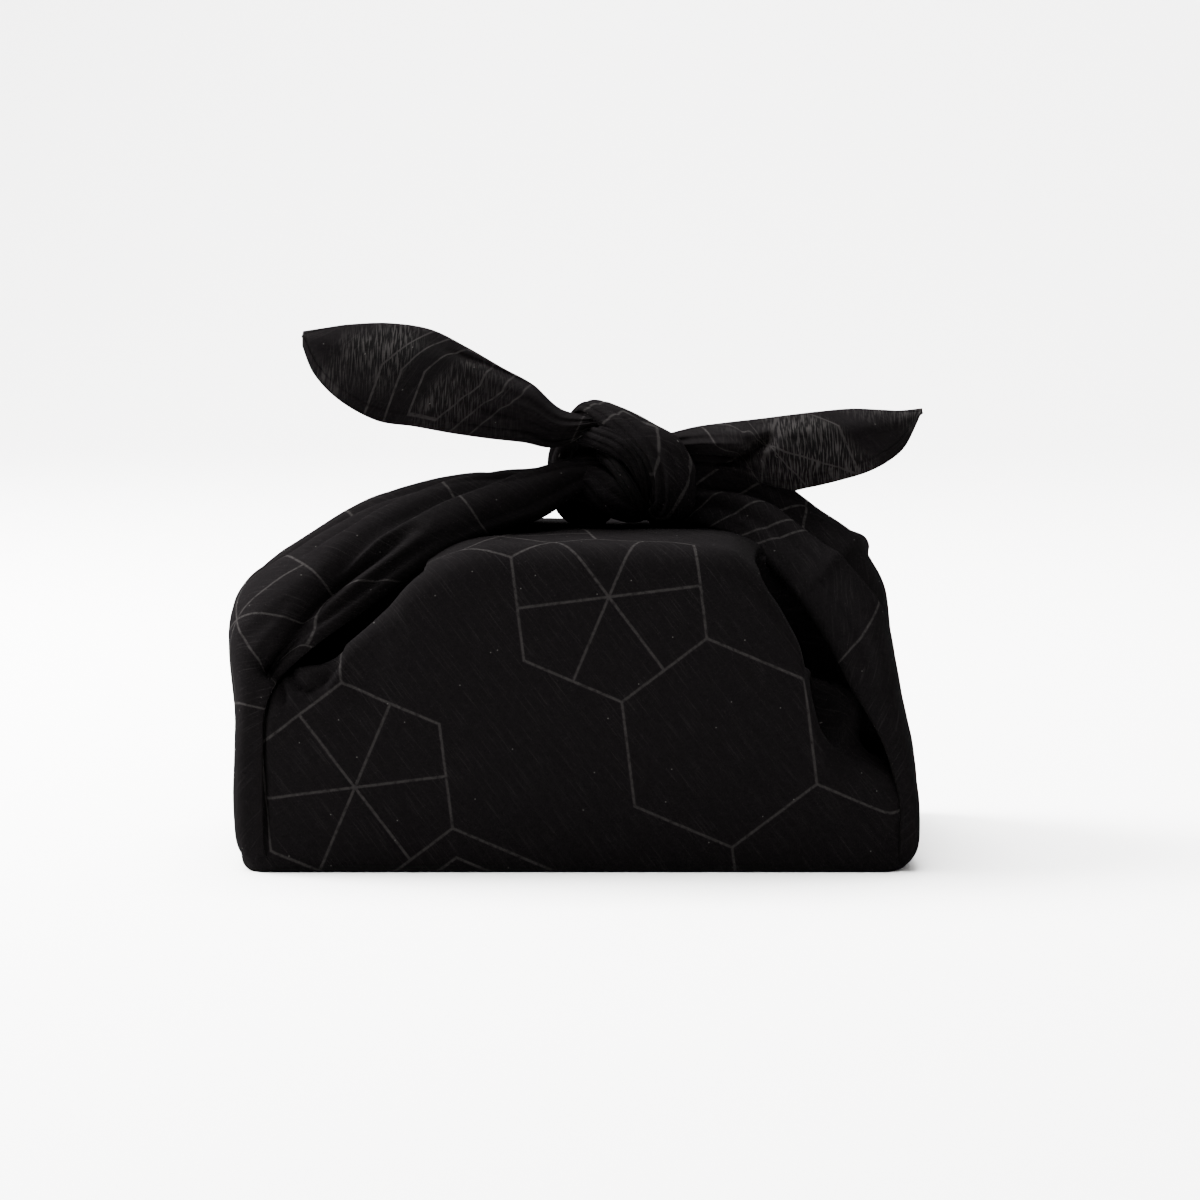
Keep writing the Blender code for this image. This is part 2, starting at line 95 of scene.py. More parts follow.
class Station(NamedTuple):
    """One section of the cloth round the box.

    Its walls are drawn in from the full depth and rise from foot to ridge. Its top climbs
    by crown above the ridge, and starts to climb a shelf's width behind it.
    """

    x: float
    ridge: float
    crown: float
    shelf: float = 0.0
    drawn_in: float = 0.0
    foot: float = 0.0


class Arch(NamedTuple):
    """One section of a gather: x, half depth and z of its edges, its crest, its squareness."""

    x: float
    half_depth: float
    z: float
    crest_x: float
    crest_z: float
    square: float


class Pleat(NamedTuple):
    """A valley that runs up a gather.

    path holds pairs of climb and distance from the front edge, or from the back edge where
    the distance is negative. near and far are its reach on the edge's side and beyond.
    """

    path: Path
    depth: float
    near: float
    far: float


class Crease(NamedTuple):
    """A fold or a hollow along a path of x and z.

    A fold dies out towards the ends of its path, over its fade, a share of the path.
    """

    path: Path
    height: float
    reach: float
    fade: float = 0.0


class Step(NamedTuple):
    """One section of a turn of the knot; facing is in degrees from the front over the top."""

    x: float
    y: float
    z: float
    width: float
    thick: float
    facing: float


class Leaf(NamedTuple):
    """One section of a loose corner, folded over at its top.

    bulge is how far its front swells, gap the room inside the fold, and behind the share
    of the height that hangs down at the back.
    """

    top_x: float
    top_z: float
    foot_x: float
    foot_z: float
    bulge: float
    gap: float
    behind: float


class Swell(NamedTuple):
    """A slow unevenness: its height, the usual distance of two swells, and its seed."""

    height: float
    size: float
    seed: int


class Lamp(NamedTuple):
    """A soft light: where it stands, what it looks at, its face, and its power in watts."""

    name: str
    place: Point
    aim: Point
    width: float
    length: float
    power: float


# ---- curves and arrays
def table(kind: type[Row], *rows: tuple) -> tuple[Row, ...]:
    """Make a row of one kind from each tuple of values."""
    return tuple(kind(*row) for row in rows)


def metres(rows: tuple, keep: int = 0) -> Array:
    """Read a table or a path of millimetres.

    Args:
        rows: its rows.
        keep: how many of its last columns aren't lengths.

    Returns:
        One row for each, with the lengths in metres.
    """
    values = np.array(rows, dtype=float)
    values[:, :values.shape[1] - keep] *= MM
    return values


def shares(count: int) -> Array:
    """Even steps from 0 to 1."""
    return np.linspace(0.0, 1.0, count)


def ease(value: Array, start: float = 0.0, run: float = 1.0) -> Array:
    """Ease from 0 at a start to 1 at the end of a run, with level ends."""
    held = np.clip((value - start) / run, 0.0, 1.0)
    return held * held * (3.0 - 2.0 * held)


def bell(value: Array, reach: Array | float) -> Array:
    """A soft bump of height 1 about 0."""
    return np.exp(-((value / reach) ** 2))


def signed_power(value: Array, power: Array | float) -> Array:
    """Raise the size of each value to a power and keep its sign."""
    return np.sign(value) * np.abs(value) ** power


def spline(rows: Array, place: Array) -> Array:
    """Read a Catmull-Rom curve.

    Args:
        rows: the curve's rows of values.
        place: where to read it, from 0 to 1.

    Returns:
        One row of values for each place.
    """
    spot = np.clip(place, 0.0, 1.0) * (len(rows) - 1)
    index = np.minimum(spot.astype(int), len(rows) - 2)
    local = (spot - index)[..., None]
    a = rows[np.maximum(index - 1, 0)]
    b = rows[index]
    c = rows[index + 1]
    d = rows[np.minimum(index + 2, len(rows) - 1)]
    bend = (2.0 * a - 5.0 * b + 4.0 * c - d) + (3.0 * b - a - 3.0 * c + d) * local
    return b + 0.5 * local * (c - a + bend * local)


def unit(vectors: Array) -> Array:
    """Vectors of length 1 along the given ones."""
    return vectors / np.maximum(np.linalg.norm(vectors, axis=-1, keepdims=True), 1e-12)


def run_length(points: Array, axis: int) -> Array:
    """Length along a grid of points, from 0 at its first row or column.

    Args:
        points: a grid of points, rows by columns by 3.
        axis: 0 to run along the rows, 1 to run along the columns.

    Returns:
        The length at every point of the grid.
    """
    steps = np.linalg.norm(np.diff(points, axis=axis), axis=2)
    start = np.zeros_like(np.take(steps, [0], axis=axis))
    return np.concatenate([start, np.cumsum(steps, axis=axis)], axis=axis)


def grid_normals(points: Array, inside: Array | Point) -> Array:
    """Normals of a grid of points, on the side that looks away from what is inside."""
    normals = unit(np.cross(np.gradient(points, axis=0), np.gradient(points, axis=1)))
    return normals * np.sign(np.sum(normals * (points - inside)))


def ripple(points: Array, swells: tuple[Swell, ...]) -> Array:
    """Low, even unevenness of a cloth: sums of slow waves.

    Args:
        points: the places, any shape by 3.
        swells: the waves' heights, sizes and seeds.

    Returns:
        The height at each place.
    """
    total = np.zeros(points.shape[:-1])
    for swell in swells:
        dice = np.random.default_rng(swell.seed)
        waves = np.zeros(points.shape[:-1])
        for _ in range(9):
            way = unit(dice.normal(size=3)) * (FULL_TURN / (swell.size * dice.uniform(0.7, 1.5)))
            waves += np.sin(points @ way + dice.uniform(0.0, FULL_TURN))
        total += swell.height * waves / 4.0
    return total


def path_distance(places: Array, corners: Path) -> tuple[Array, Array]:
    """Distance of places from a bent line, and how far along the line they lie.

    Args:
        places: any shape by 2, in metres.
        corners: the corners of the line, in millimetres.

    Returns:
        The distance, and the share of the line's length from 0 to 1.
    """
    path = metres(corners)
    lengths = np.linalg.norm(np.diff(path, axis=0), axis=1)
    before = np.concatenate([[0.0], np.cumsum(lengths)])
    best = np.full(places.shape[:-1], np.inf)
    share = np.zeros(places.shape[:-1])
    for i, length in enumerate(lengths):
        along = (path[i + 1] - path[i]) / length
        run = np.clip((places - path[i]) @ along, 0.0, length)
        gap = np.linalg.norm(places - path[i] - run[..., None] * along, axis=-1)
        nearer = gap < best
        best = np.where(nearer, gap, best)
        share = np.where(nearer, (before[i] + run) / before[-1], share)
    return best, share


def on_cloth(across: Array, along: Array, turn: float = 0.0) -> Array:
    """Places on the cloth, along its two edges, from places along its diagonals.

    Args:
        across: distance from the middle towards the right corner.
        along: distance from the middle towards the back corner.
        turn: extra turn of the cloth, in degrees.

    Returns:
        The places, with a last axis of 2.
    """
    angle = math.radians(45.0 + turn)
    first = across * math.cos(angle) + along * math.sin(angle)
    second = along * math.cos(angle) - across * math.sin(angle)
    return np.stack([first, second], axis=-1)


# ---- meshes
def quads(rows: int, columns: int, ring: bool = False) -> Array:
    """Corners of the faces of a grid, rows by columns.

    Args:
        rows: rows of points.
        columns: points in a row.
        ring: whether the last column joins the first.

    Returns:
        Four point numbers for each face.
    """
    last = columns if ring else columns - 1
    r, c = np.meshgrid(np.arange(rows - 1), np.arange(last), indexing="ij")
    here = r * columns + c
    beside = r * columns + (c + 1) % columns
    faces = np.stack([here, beside, beside + columns, here + columns], -1)
    return faces.reshape(-1, 4)


def linked(name: str, data: bpy.types.ID) -> Piece:
    """Put a new object into the scene.

    Args:
        name: the object's name.
        data: its mesh, light or camera.

    Returns:
        The object.
    """
    made = bpy.data.objects.new(name, data)
    bpy.context.scene.collection.objects.link(made)
    return made


def thicken(piece: Piece, thickness: float) -> None:
    """Give a sheet its thickness, inwards from the face that shows.

    Args:
        piece: the sheet.
        thickness: how thick it gets.
    """
    wall = piece.modifiers.new("thickness", "SOLIDIFY")
    wall.thickness = thickness
    wall.offset = -1.0
    bpy.context.view_layer.objects.active = piece
    bpy.ops.object.modifier_apply(modifier=wall.name)


# ---- finishes
class Finish:
    """A material, with short hands for wiring its nodes."""

    def __init__(self, name: str) -> None:
        """Start the material with an output and a Principled shader.

        Args:
            name: its name.
        """
        self.material = bpy.data.materials.new(name)
        self.material.use_nodes = True
        self.tree = self.material.node_tree
        self.shader = self.tree.nodes["Principled BSDF"]

    def feed(self, node: bpy.types.Node, values: dict[int | str, object]) -> None:
        """Link or set the inputs of a node.

        Args:
            node: the node.
            values: a socket or a plain value for each input.
        """
        for socket, value in values.items():
            if isinstance(value, Socket):
                self.tree.links.new(value, node.inputs[socket])
            else:
                node.inputs[socket].default_value = value

    def node(self, kind: str, values: dict[int | str, object], output: int | str = 0,
             **settings: object) -> Socket:
        """Add a node.

        Args:
            kind: its type.
            values: a socket or a plain value for each input.
            output: which of its outputs is wanted.
            **settings: its properties.

        Returns:
            The wanted output.
        """
        node = self.tree.nodes.new(kind)
        for name, value in settings.items():
            setattr(node, name, value)
        self.feed(node, values)
        return node.outputs[output]

    def calc(self, operation: str, *values: object) -> Socket:
        """Result of a Math node."""
        return self.node("ShaderNodeMath", dict(enumerate(values)), operation=operation)

    def chain(self, operation: str, *values: object) -> Socket:
        """Result of a Math operation that takes in many values, one after another."""
        return functools.reduce(lambda one, other: self.calc(operation, one, other), values)

    def vector(self, operation: str, *values: object) -> Socket:
        """Result of a Vector Math node, a number for a length or a dot product."""
        result = "Value" if operation in ("LENGTH", "DOT_PRODUCT") else "Vector"
        return self.node("ShaderNodeVectorMath", dict(enumerate(values)), result, operation=operation)

    def noise(self, place: Socket, scale: float, detail: float = 2.0) -> Socket:
        """Noise between 0 and 1 at a place."""
        values = {"Vector": place, "Scale": scale, "Detail": detail}
        return self.node("ShaderNodeTexNoise", values, "Fac", noise_dimensions="3D")

    def step(self, value: Socket, span: Span) -> Socket:
        """A value eased from 0 at the start of a span to 1 at its end."""
        values = {"Value": value, "From Min": span[0], "From Max": span[1]}
        return self.node("ShaderNodeMapRange", values, "Result", interpolation_type="SMOOTHSTEP")

    def blend(self, share: Socket, one: object, other: object) -> Socket:
        """Two colours mixed by a share."""
        return self.node("ShaderNodeMix", {0: share, 6: one, 7: other}, 2, data_type="RGBA")

    def bump(self, strength: float, distance: float, height: Socket, **under: Socket) -> Socket:
        """The surface's normal, or the Normal under it, with a relief laid on it."""
        values = {"Strength": strength, "Distance": distance, "Height": height, **under}
        return self.node("ShaderNodeBump", values)


class SlubCotton(Finish):
    """Near-black slub cotton with a printed lattice of tortoiseshell hexagons.

    Its thin slubs run both ways. Towards the corners of the cloth, coarser threads show in
    patches, lighter with a painted sheen, as if they caught the light. Specks of fluff lie
    on it here and there. A span of noise is where a finish starts and where it is full.
    """

    ground: Colour = (0.0018, 0.0016, 0.0017, 1.0)
    slub: Colour = (0.0045, 0.0041, 0.0042, 1.0)
    line: Colour = (0.0090, 0.0083, 0.0082, 1.0)
    # painted sheen: the lighter tone of the coarse threads towards the corners, as if they caught the light
    lit_slub: Colour = (0.0105, 0.0098, 0.0096, 1.0)
    fluff: Colour = (0.022, 0.021, 0.020, 1.0)
    roughness: float = 0.92
    shine: float = 0.0
    sheen: float = 0.002
    sheen_roughness: float = 0.45
    thread: float = 0.00055      # pitch of the weave
    slub_size: Span = (0.015, 0.0004)
    warp_length: float = 0.6     # of a warp slub beside a weft slub
    warp_span: Span = (0.66, 0.90)
    weft_span: Span = (0.54, 0.78)
    slub_tone: float = 0.75
    fibre_tone: float = 0.35
    # coarse threads towards the corners, which carry the painted sheen of lit_slub
    coarse_size: Span = (0.0065, 0.00045)
    coarse_turn: float = -50.0
    coarse_span: Span = (0.46, 0.62)
    coarse_sheen_reach: Span = (0.415, 0.460)  # from the middle of the cloth
    patch_scale: float = 28.0
    patch_span: Span = (0.40, 0.58)
    fluff_spacing: float = 0.0200
    fluff_span: Span = (0.006, 0.014)
    cell: float = 0.056          # hexagon from flat to flat
    rings: Span = (0.36, 0.20)   # shares of the cell
    bar_share: float = 0.1
    picks: tuple[float, ...] = (0.0, 0.28, 0.50, 0.66)   # chances of rings, rays and bars
    snap: float = 0.004          # rounds a hexagon's middle, so that its chance holds still
    shuffle: Point = (7.1, 3.3, 0.0)
    line_width: float = 0.0008
    line_edge: Span = (0.3, 0.75)
    print_span: Span = (0.15, 0.58)
    weave_relief: float = 0.25
    slub_relief: float = 0.6
    fine_bump: Span = (0.55, 0.00018)    # strength and distance
    soft_bump: Span = (0.6, 0.0006)
    crumple_scale: float = 110.0

    def __init__(self) -> None:
        """Start the cotton, with the place on the flat cloth to lay it out by."""
        super().__init__("slub_cotton")
        self.place = self.node("ShaderNodeUVMap", {}, "UV", uv_map=UV_MAP)

    def make(self) -> bpy.types.Material:
        """Build the cotton.

        Returns:
            The material.
        """
        length, width = self.slub_size
        warp = self._threads((width, length * self.warp_length))
        weft = self._threads(self.slub_size)
        fibres = self.noise(self.place, 1.0 / (3.0 * self.thread), 3.0)
        slubs = self.calc("MAXIMUM", self.step(warp, self.warp_span), self.step(weft, self.weft_span))
        fine = self.calc("MULTIPLY", fibres, self.fibre_tone)
        tone = self.calc("MULTIPLY_ADD", slubs, self.slub_tone, fine)
        # painted sheen: coarse threads in patches towards the corners, where the light is painted on
        lit = self.chain(
            "MULTIPLY",
            self.step(self.vector("LENGTH", self.place), self.coarse_sheen_reach),
            self.step(self._threads(self.coarse_size, self.coarse_turn), self.coarse_span),
            self.step(self.noise(self.place, self.patch_scale, 1.0), self.patch_span),
        )
        printed = self.calc("MULTIPLY", self._lattice(), self.step(fibres, self.print_span))
        colour = self.blend(self.calc("MINIMUM", tone, 1.0), self.ground, self.slub)
        # lay the painted sheen over the corner threads
        colour = self.blend(lit, colour, self.lit_slub)
        colour = self.blend(printed, colour, self.line)
        colour = self.blend(self._fluff(), colour, self.fluff)
        self.feed(self.shader, {
            "Base Color": colour,
            "Roughness": self.roughness,
            "Specular IOR Level": self.shine,
            "Sheen Weight": self.sheen,
            "Sheen Roughness": self.sheen_roughness,
            "Normal": self._relief(slubs, fibres),
        })
        return self.material

    def _threads(self, size: Span, turn: float = 0.0) -> Socket:
        """Uneven threads: noise drawn out along one direction of the cloth."""
        values = {"Vector": self.place, "Rotation": (0.0, 0.0, math.radians(turn)), "Scale": (*size, 1.0)}
        return self.noise(self.node("ShaderNodeMapping", values, vector_type="TEXTURE"), 1.0, 1.0)

    def _fluff(self) -> Socket:
        """Sparse specks of fluff.

        Returns:
            1 on a speck and 0 off it.
        """
        values = {"Vector": self.place, "Scale": 1.0 / self.fluff_spacing}
        gap = self.node("ShaderNodeTexVoronoi", values, "Distance", voronoi_dimensions="2D")
        return self.calc("SUBTRACT", 1.0, self.step(gap, self.fluff_span))

    def _relief(self, slubs: Socket, fibres: Socket) -> Socket:
        """The weave, the slubs and the handled softness of the cloth.

        Args:
            slubs: where the slubs are.
            fibres: the noise of the fibres.

        Returns:
            The normal.
        """
        ways = [self.node("ShaderNodeSeparateXYZ", {0: self.place}, axis) for axis in (0, 1)]
        over, under = (self.calc("SINE", self.calc("MULTIPLY", way, FULL_TURN / self.thread)) for way in ways)
        raised = self.calc("MULTIPLY_ADD", slubs, self.slub_relief, fibres)
        height = self.calc("MULTIPLY_ADD", self.calc("MULTIPLY", over, under), self.weave_relief, raised)
        fine = self.bump(*self.fine_bump, height)
        return self.bump(*self.soft_bump, self.noise(self.place, self.crumple_scale, 3.0), Normal=fine)

    def _lattice(self) -> Socket:
        """The printed lines: hexagons, and in some of them rings, rays or bars.

        Returns:
            How strongly a line is printed at each place.
        """
        local, chance = self._cell()
        across = self._lines(local, 0.0)
        reach = self.chain("MAXIMUM", *across)
        ray = self.chain("MINIMUM", *self._lines(local, 30.0))
        edge, outer, inner = (self._drawn(self.calc("SUBTRACT", reach, self.cell * share))
                              for share in (0.5, *self.rings))
        bar = self.calc("PINGPONG", across[0], self.cell * self.bar_share)
        fillings = (self.calc("MAXIMUM", outer, inner), self._drawn(ray), self._drawn(bar))
        inside = self.calc("LESS_THAN", reach, self.cell / 2.0)
        shown = [self.chain("MULTIPLY", filling, inside,
                            self.calc("GREATER_THAN", chance, low), self.calc("LESS_THAN", chance, high))
                 for filling, low, high in zip(fillings, self.picks, self.picks[1:])]
        return self.chain("MAXIMUM", edge, *shown)

    def _cell(self) -> tuple[Socket, Socket]:
        """Find the nearest hexagon.

        Returns:
            The place from its middle, and a chance between 0 and 1 that is its own.
        """
        half = (self.cell / 2.0, self.cell * math.sqrt(3.0) / 2.0, 0.5)
        low = tuple(-value for value in half)
        one = self.vector("WRAP", self.place, half, low)
        other = self.vector("WRAP", self.vector("SUBTRACT", self.place, half), half, low)
        nearer = self.calc("LESS_THAN", self.vector("LENGTH", one), self.vector("LENGTH", other))
        local = self.node("ShaderNodeMix", {0: nearer, 4: other, 5: one}, 1, data_type="VECTOR")
        centre = self.vector("SNAP", self.vector("SUBTRACT", self.place, local), (self.snap,) * 3)
        values = {"Vector": self.vector("ADD", centre, self.shuffle)}
        return local, self.node("ShaderNodeTexWhiteNoise", values, "Value", noise_dimensions="2D")

    def _lines(self, local: Socket, start: float) -> list[Socket]:
        """Distances from three lines through the middle of a hexagon, 60 degrees apart."""
        ways = [(math.cos(turn), math.sin(turn), 0.0) for turn in np.radians(start + SIXTHS)]
        return [self.calc("ABSOLUTE", self.vector("DOT_PRODUCT", local, way)) for way in ways]

    def _drawn(self, distance: Socket) -> Socket:
        """A soft line where a distance is near 0, 1 on the line and 0 off it."""
        span = tuple(self.line_width * share for share in self.line_edge)
        return self.calc("SUBTRACT", 1.0, self.step(self.calc("ABSOLUTE", distance), span))


class Paper(Finish):
    """The matt white of the studio floor and backdrop."""

    colour: Colour = (0.86, 0.855, 0.85, 1.0)
    shade: float = 0.985         # the darker grain beside the lighter
    grain_scale: float = 3.0
    roughness: float = 0.9
    shine: float = 0.1

    def make(self) -> bpy.types.Material:
        """Build the white.

        Returns:
            The material.
        """
        place = self.node("ShaderNodeTexCoord", {}, "Object")
        darker = (*(value * self.shade for value in self.colour[:3]), 1.0)
        self.feed(self.shader, {
            "Base Color": self.blend(self.noise(place, self.grain_scale), self.colour, darker),
            "Roughness": self.roughness,
            "Specular IOR Level": self.shine,
        })
        return self.material


# ---- pieces of the cloth
@dataclass
class ClothPart:
    """A part of the one cloth: a sheet that rides on the body and stands for the CAD cloth."""

    name: str
    flat: Span
    held: Held = Held.GATHERED
    thickness: float = 0.0       # of the cloth where its edge shows

    def made(self, points: Array, faces: Array, cloth: Array, outward: Array) -> Piece:
        """Make the part's object.

        Args:
            points: its points, a grid by 3.
            faces: four point numbers for each face.
            cloth: for each corner of each face, its place on the flat cloth.
            outward: for each point, the way its face should look.

        Returns:
            The object, smooth, with its UV map and its thickness.
        """
        mesh = bpy.data.meshes.new(self.name)
        mesh.from_pydata(points.reshape(-1, 3).tolist(), [], faces.tolist())
        mesh.uv_layers.new(name=UV_MAP).data.foreach_set("uv", cloth.reshape(-1).astype(np.float32))
        mesh.shade_smooth()
        piece = linked(self.name, mesh)
        normals = np.empty(points.size, dtype=np.float32)
        mesh.vertex_normals.foreach_get("vector", normals)
        if float(normals @ outward.reshape(-1)) < 0.0:
            mesh.flip_normals()
        if self.thickness > 0.0:
            thicken(piece, self.thickness)
        return piece

    def dress(self, piece: Piece, cotton: bpy.types.Material) -> None:
        """Give a part its finish, tie it to the body and hide the CAD cloth.

        Args:
            piece: the part's object.
            cotton: its material.
        """
        piece.data.materials.append(cotton)
        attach(piece, BODY)
        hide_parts(NODE)
        LOG.info("%s: %d faces", piece.name, len(piece.data.polygons))


@dataclass
class BoxWrap(ClothPart):
    """The cloth that lies round the box, open only where its front and back corners meet."""

    stations: tuple[Station, ...] = ()
    creases: tuple[Crease, ...] = ()
    hollows: tuple[Crease, ...] = ()
    half_depth: float = 0.0640
    rise_run: float = 0.0340
    foot_radius: float = 0.0020
    ridge_radius: float = 0.0105
    overlap: float = 0.0220      # how far the front corner reaches past the middle of the top
    back_overlap: float = 0.0080
    lift: float = 0.0009         # how far the back corner lies above the front one
    lift_range: Span = (-0.045, 0.020)
    front_range: Span = (0.030, 0.012)   # from the middle to the front: start of the creases, run
    crease_ends: float = 0.35    # share of a crease that is left at its ends
    floor_range: Span = (0.0005, 0.012)
    hollow_start: Span = (0.018, 0.006)  # from the middle to the front: start of the hollows, run
    hollow_end: Span = (-0.0592, 0.005)
    tip: float = 0.0005          # reach of a hollow at its tips
    tip_shares: Span = (0.02, 0.98)
    open_depth: float = 0.0140   # the cloth is open where a hollow is deeper than this
    centre: Point = (0.0, 0.0, 0.045)
    swells: tuple[Swell, ...] = (Swell(0.00045, 0.060, 3), Swell(0.00018, 0.022, 4))
    rows: int = 300
    bottom_points: int = 14
    arc_points: int = 8
    wall_points: int = 46
    top_points: int = 60

    def build(self) -> Piece:
        """Build the cloth round the box.

        Returns:
            The finished sheet.
        """
        stations = spline(metres(self.stations), shares(self.rows))
        front = self._half(stations, lifted=False)
        back = self._half(stations, lifted=True)
        front[..., 1] *= -1.0
        points = np.concatenate([front[:, ::-1], back[:, 1:]], axis=1)
        middle = front.shape[1] - 1
        length = run_length(points, 1)
        cloth = on_cloth(points[..., 0], length - length[:, middle:middle + 1], BOX_TURN)
        height, sunk = self._relief(points)
        normals = grid_normals(points, self.centre)
        points = self._trimmed(points + normals * height[..., None], sunk)
        points[..., 2] = np.maximum(points[..., 2], 0.0)
        faces = quads(*points.shape[:2])
        faces = faces[sunk.reshape(-1)[faces].min(axis=1) < self.open_depth]
        return self.made(points, faces, cloth.reshape(-1, 2)[faces], points - self.centre)

    def _trimmed(self, points: Array, sunk: Array) -> Array:
        """Slide the points next to the opening's rim onto the rim, so that it runs smooth.

        Args:
            points: the folded sheet.
            sunk: how deep the hollows are at each point.

        Returns:
            The points, those just inside the rim moved along their section.
        """
        moved = points.copy()
        ahead = (slice(None), slice(1, None))
        before = (slice(None), slice(None, -1))
        for inner, outer in ((before, ahead), (ahead, before)):
            crosses = (sunk[inner] >= self.open_depth) & (sunk[outer] < self.open_depth)
            rise = np.maximum(sunk[inner] - sunk[outer], 1e-9)
            share = np.where(crosses, (self.open_depth - sunk[outer]) / rise, 1.0)[..., None]
            moved[inner] = points[outer] * (1.0 - share) + moved[inner] * share
        return moved

    def _half(self, stations: Array, lifted: bool) -> Array:
        """Half of each section, from the middle of the bottom to past the middle of the top.

        Args:
            stations: one row of station values for each section.
            lifted: whether this corner lies on the other one.

        Returns:
            Points, sections by points by 3, on the side where y is positive.
        """
        x, ridge, crown, shelf, drawn_in, foot = (column[:, None] for column in stations.T)
        depth = self.half_depth - drawn_in
        turn = shares(self.arc_points)[None, :] * math.pi / 2.0
        out, back = 1.0 - np.sin(turn), 1.0 - np.cos(turn)
        bottom = shares(self.bottom_points)[None, :-1]
        wall = shares(self.wall_points)[None, 1:-1]
        over = shares(self.top_points)[None, 1:]
        level = depth - self.ridge_radius
        low = foot + self.foot_radius
        high = ridge - self.ridge_radius
        past_middle = self.back_overlap if lifted else self.overlap
        top_y = level - (past_middle + level) * over
        top_z = ridge + crown * ease(level - shelf - np.abs(top_y), run=self.rise_run)
        if lifted:
            top_z = top_z + self.lift * ease(-top_y, *self.lift_range)
        y = np.concatenate([
            (depth - self.foot_radius) * bottom,
            depth - self.foot_radius * out,
            depth + np.zeros_like(wall),
            depth - self.ridge_radius * back,
            top_y,
        ], axis=1)
        z = np.concatenate([
            foot + np.zeros_like(bottom),
            foot + self.foot_radius * back,
            low + (high - low) * wall,
            ridge - self.ridge_radius * out,
            top_z,
        ], axis=1)
        return np.stack([x + np.zeros_like(y), y, z], axis=-1)

    def _relief(self, points: Array) -> tuple[Array, Array]:
        """Folds, unevenness and the mouth, as heights along the normals.

        Args:
            points: the smooth sheet.

        Returns:
            The height at each point, and how deep the mouth is there.
        """
        seen, ahead = points[..., [0, 2]], -points[..., 1]
        height = ripple(points, self.swells) * ease(points[..., 2], *self.floor_range)
        in_front = ease(ahead, *self.front_range)
        for crease in self.creases:
            gap, share = path_distance(seen, crease.path)
            fading = ease(share, run=crease.fade) * ease(1.0 - share, run=crease.fade)
            kept = self.crease_ends + (1.0 - self.crease_ends) * fading
            height += crease.height * MM * bell(gap, crease.reach * MM) * kept * in_front
        recess = ease(ahead, *self.hollow_start) * ease(-ahead, *self.hollow_end)
        sunk = np.zeros(points.shape[:2])
        for hollow in self.hollows:
            gap, share = path_distance(seen, hollow.path)
            taper = np.sin(math.pi * np.clip(share, *self.tip_shares)) ** 0.5
            pit = np.exp(-((gap / (hollow.reach * MM * taper + self.tip)) ** 4))
            sunk = np.maximum(sunk, hollow.height * MM * pit * recess * taper)
        return height - sunk, sunk


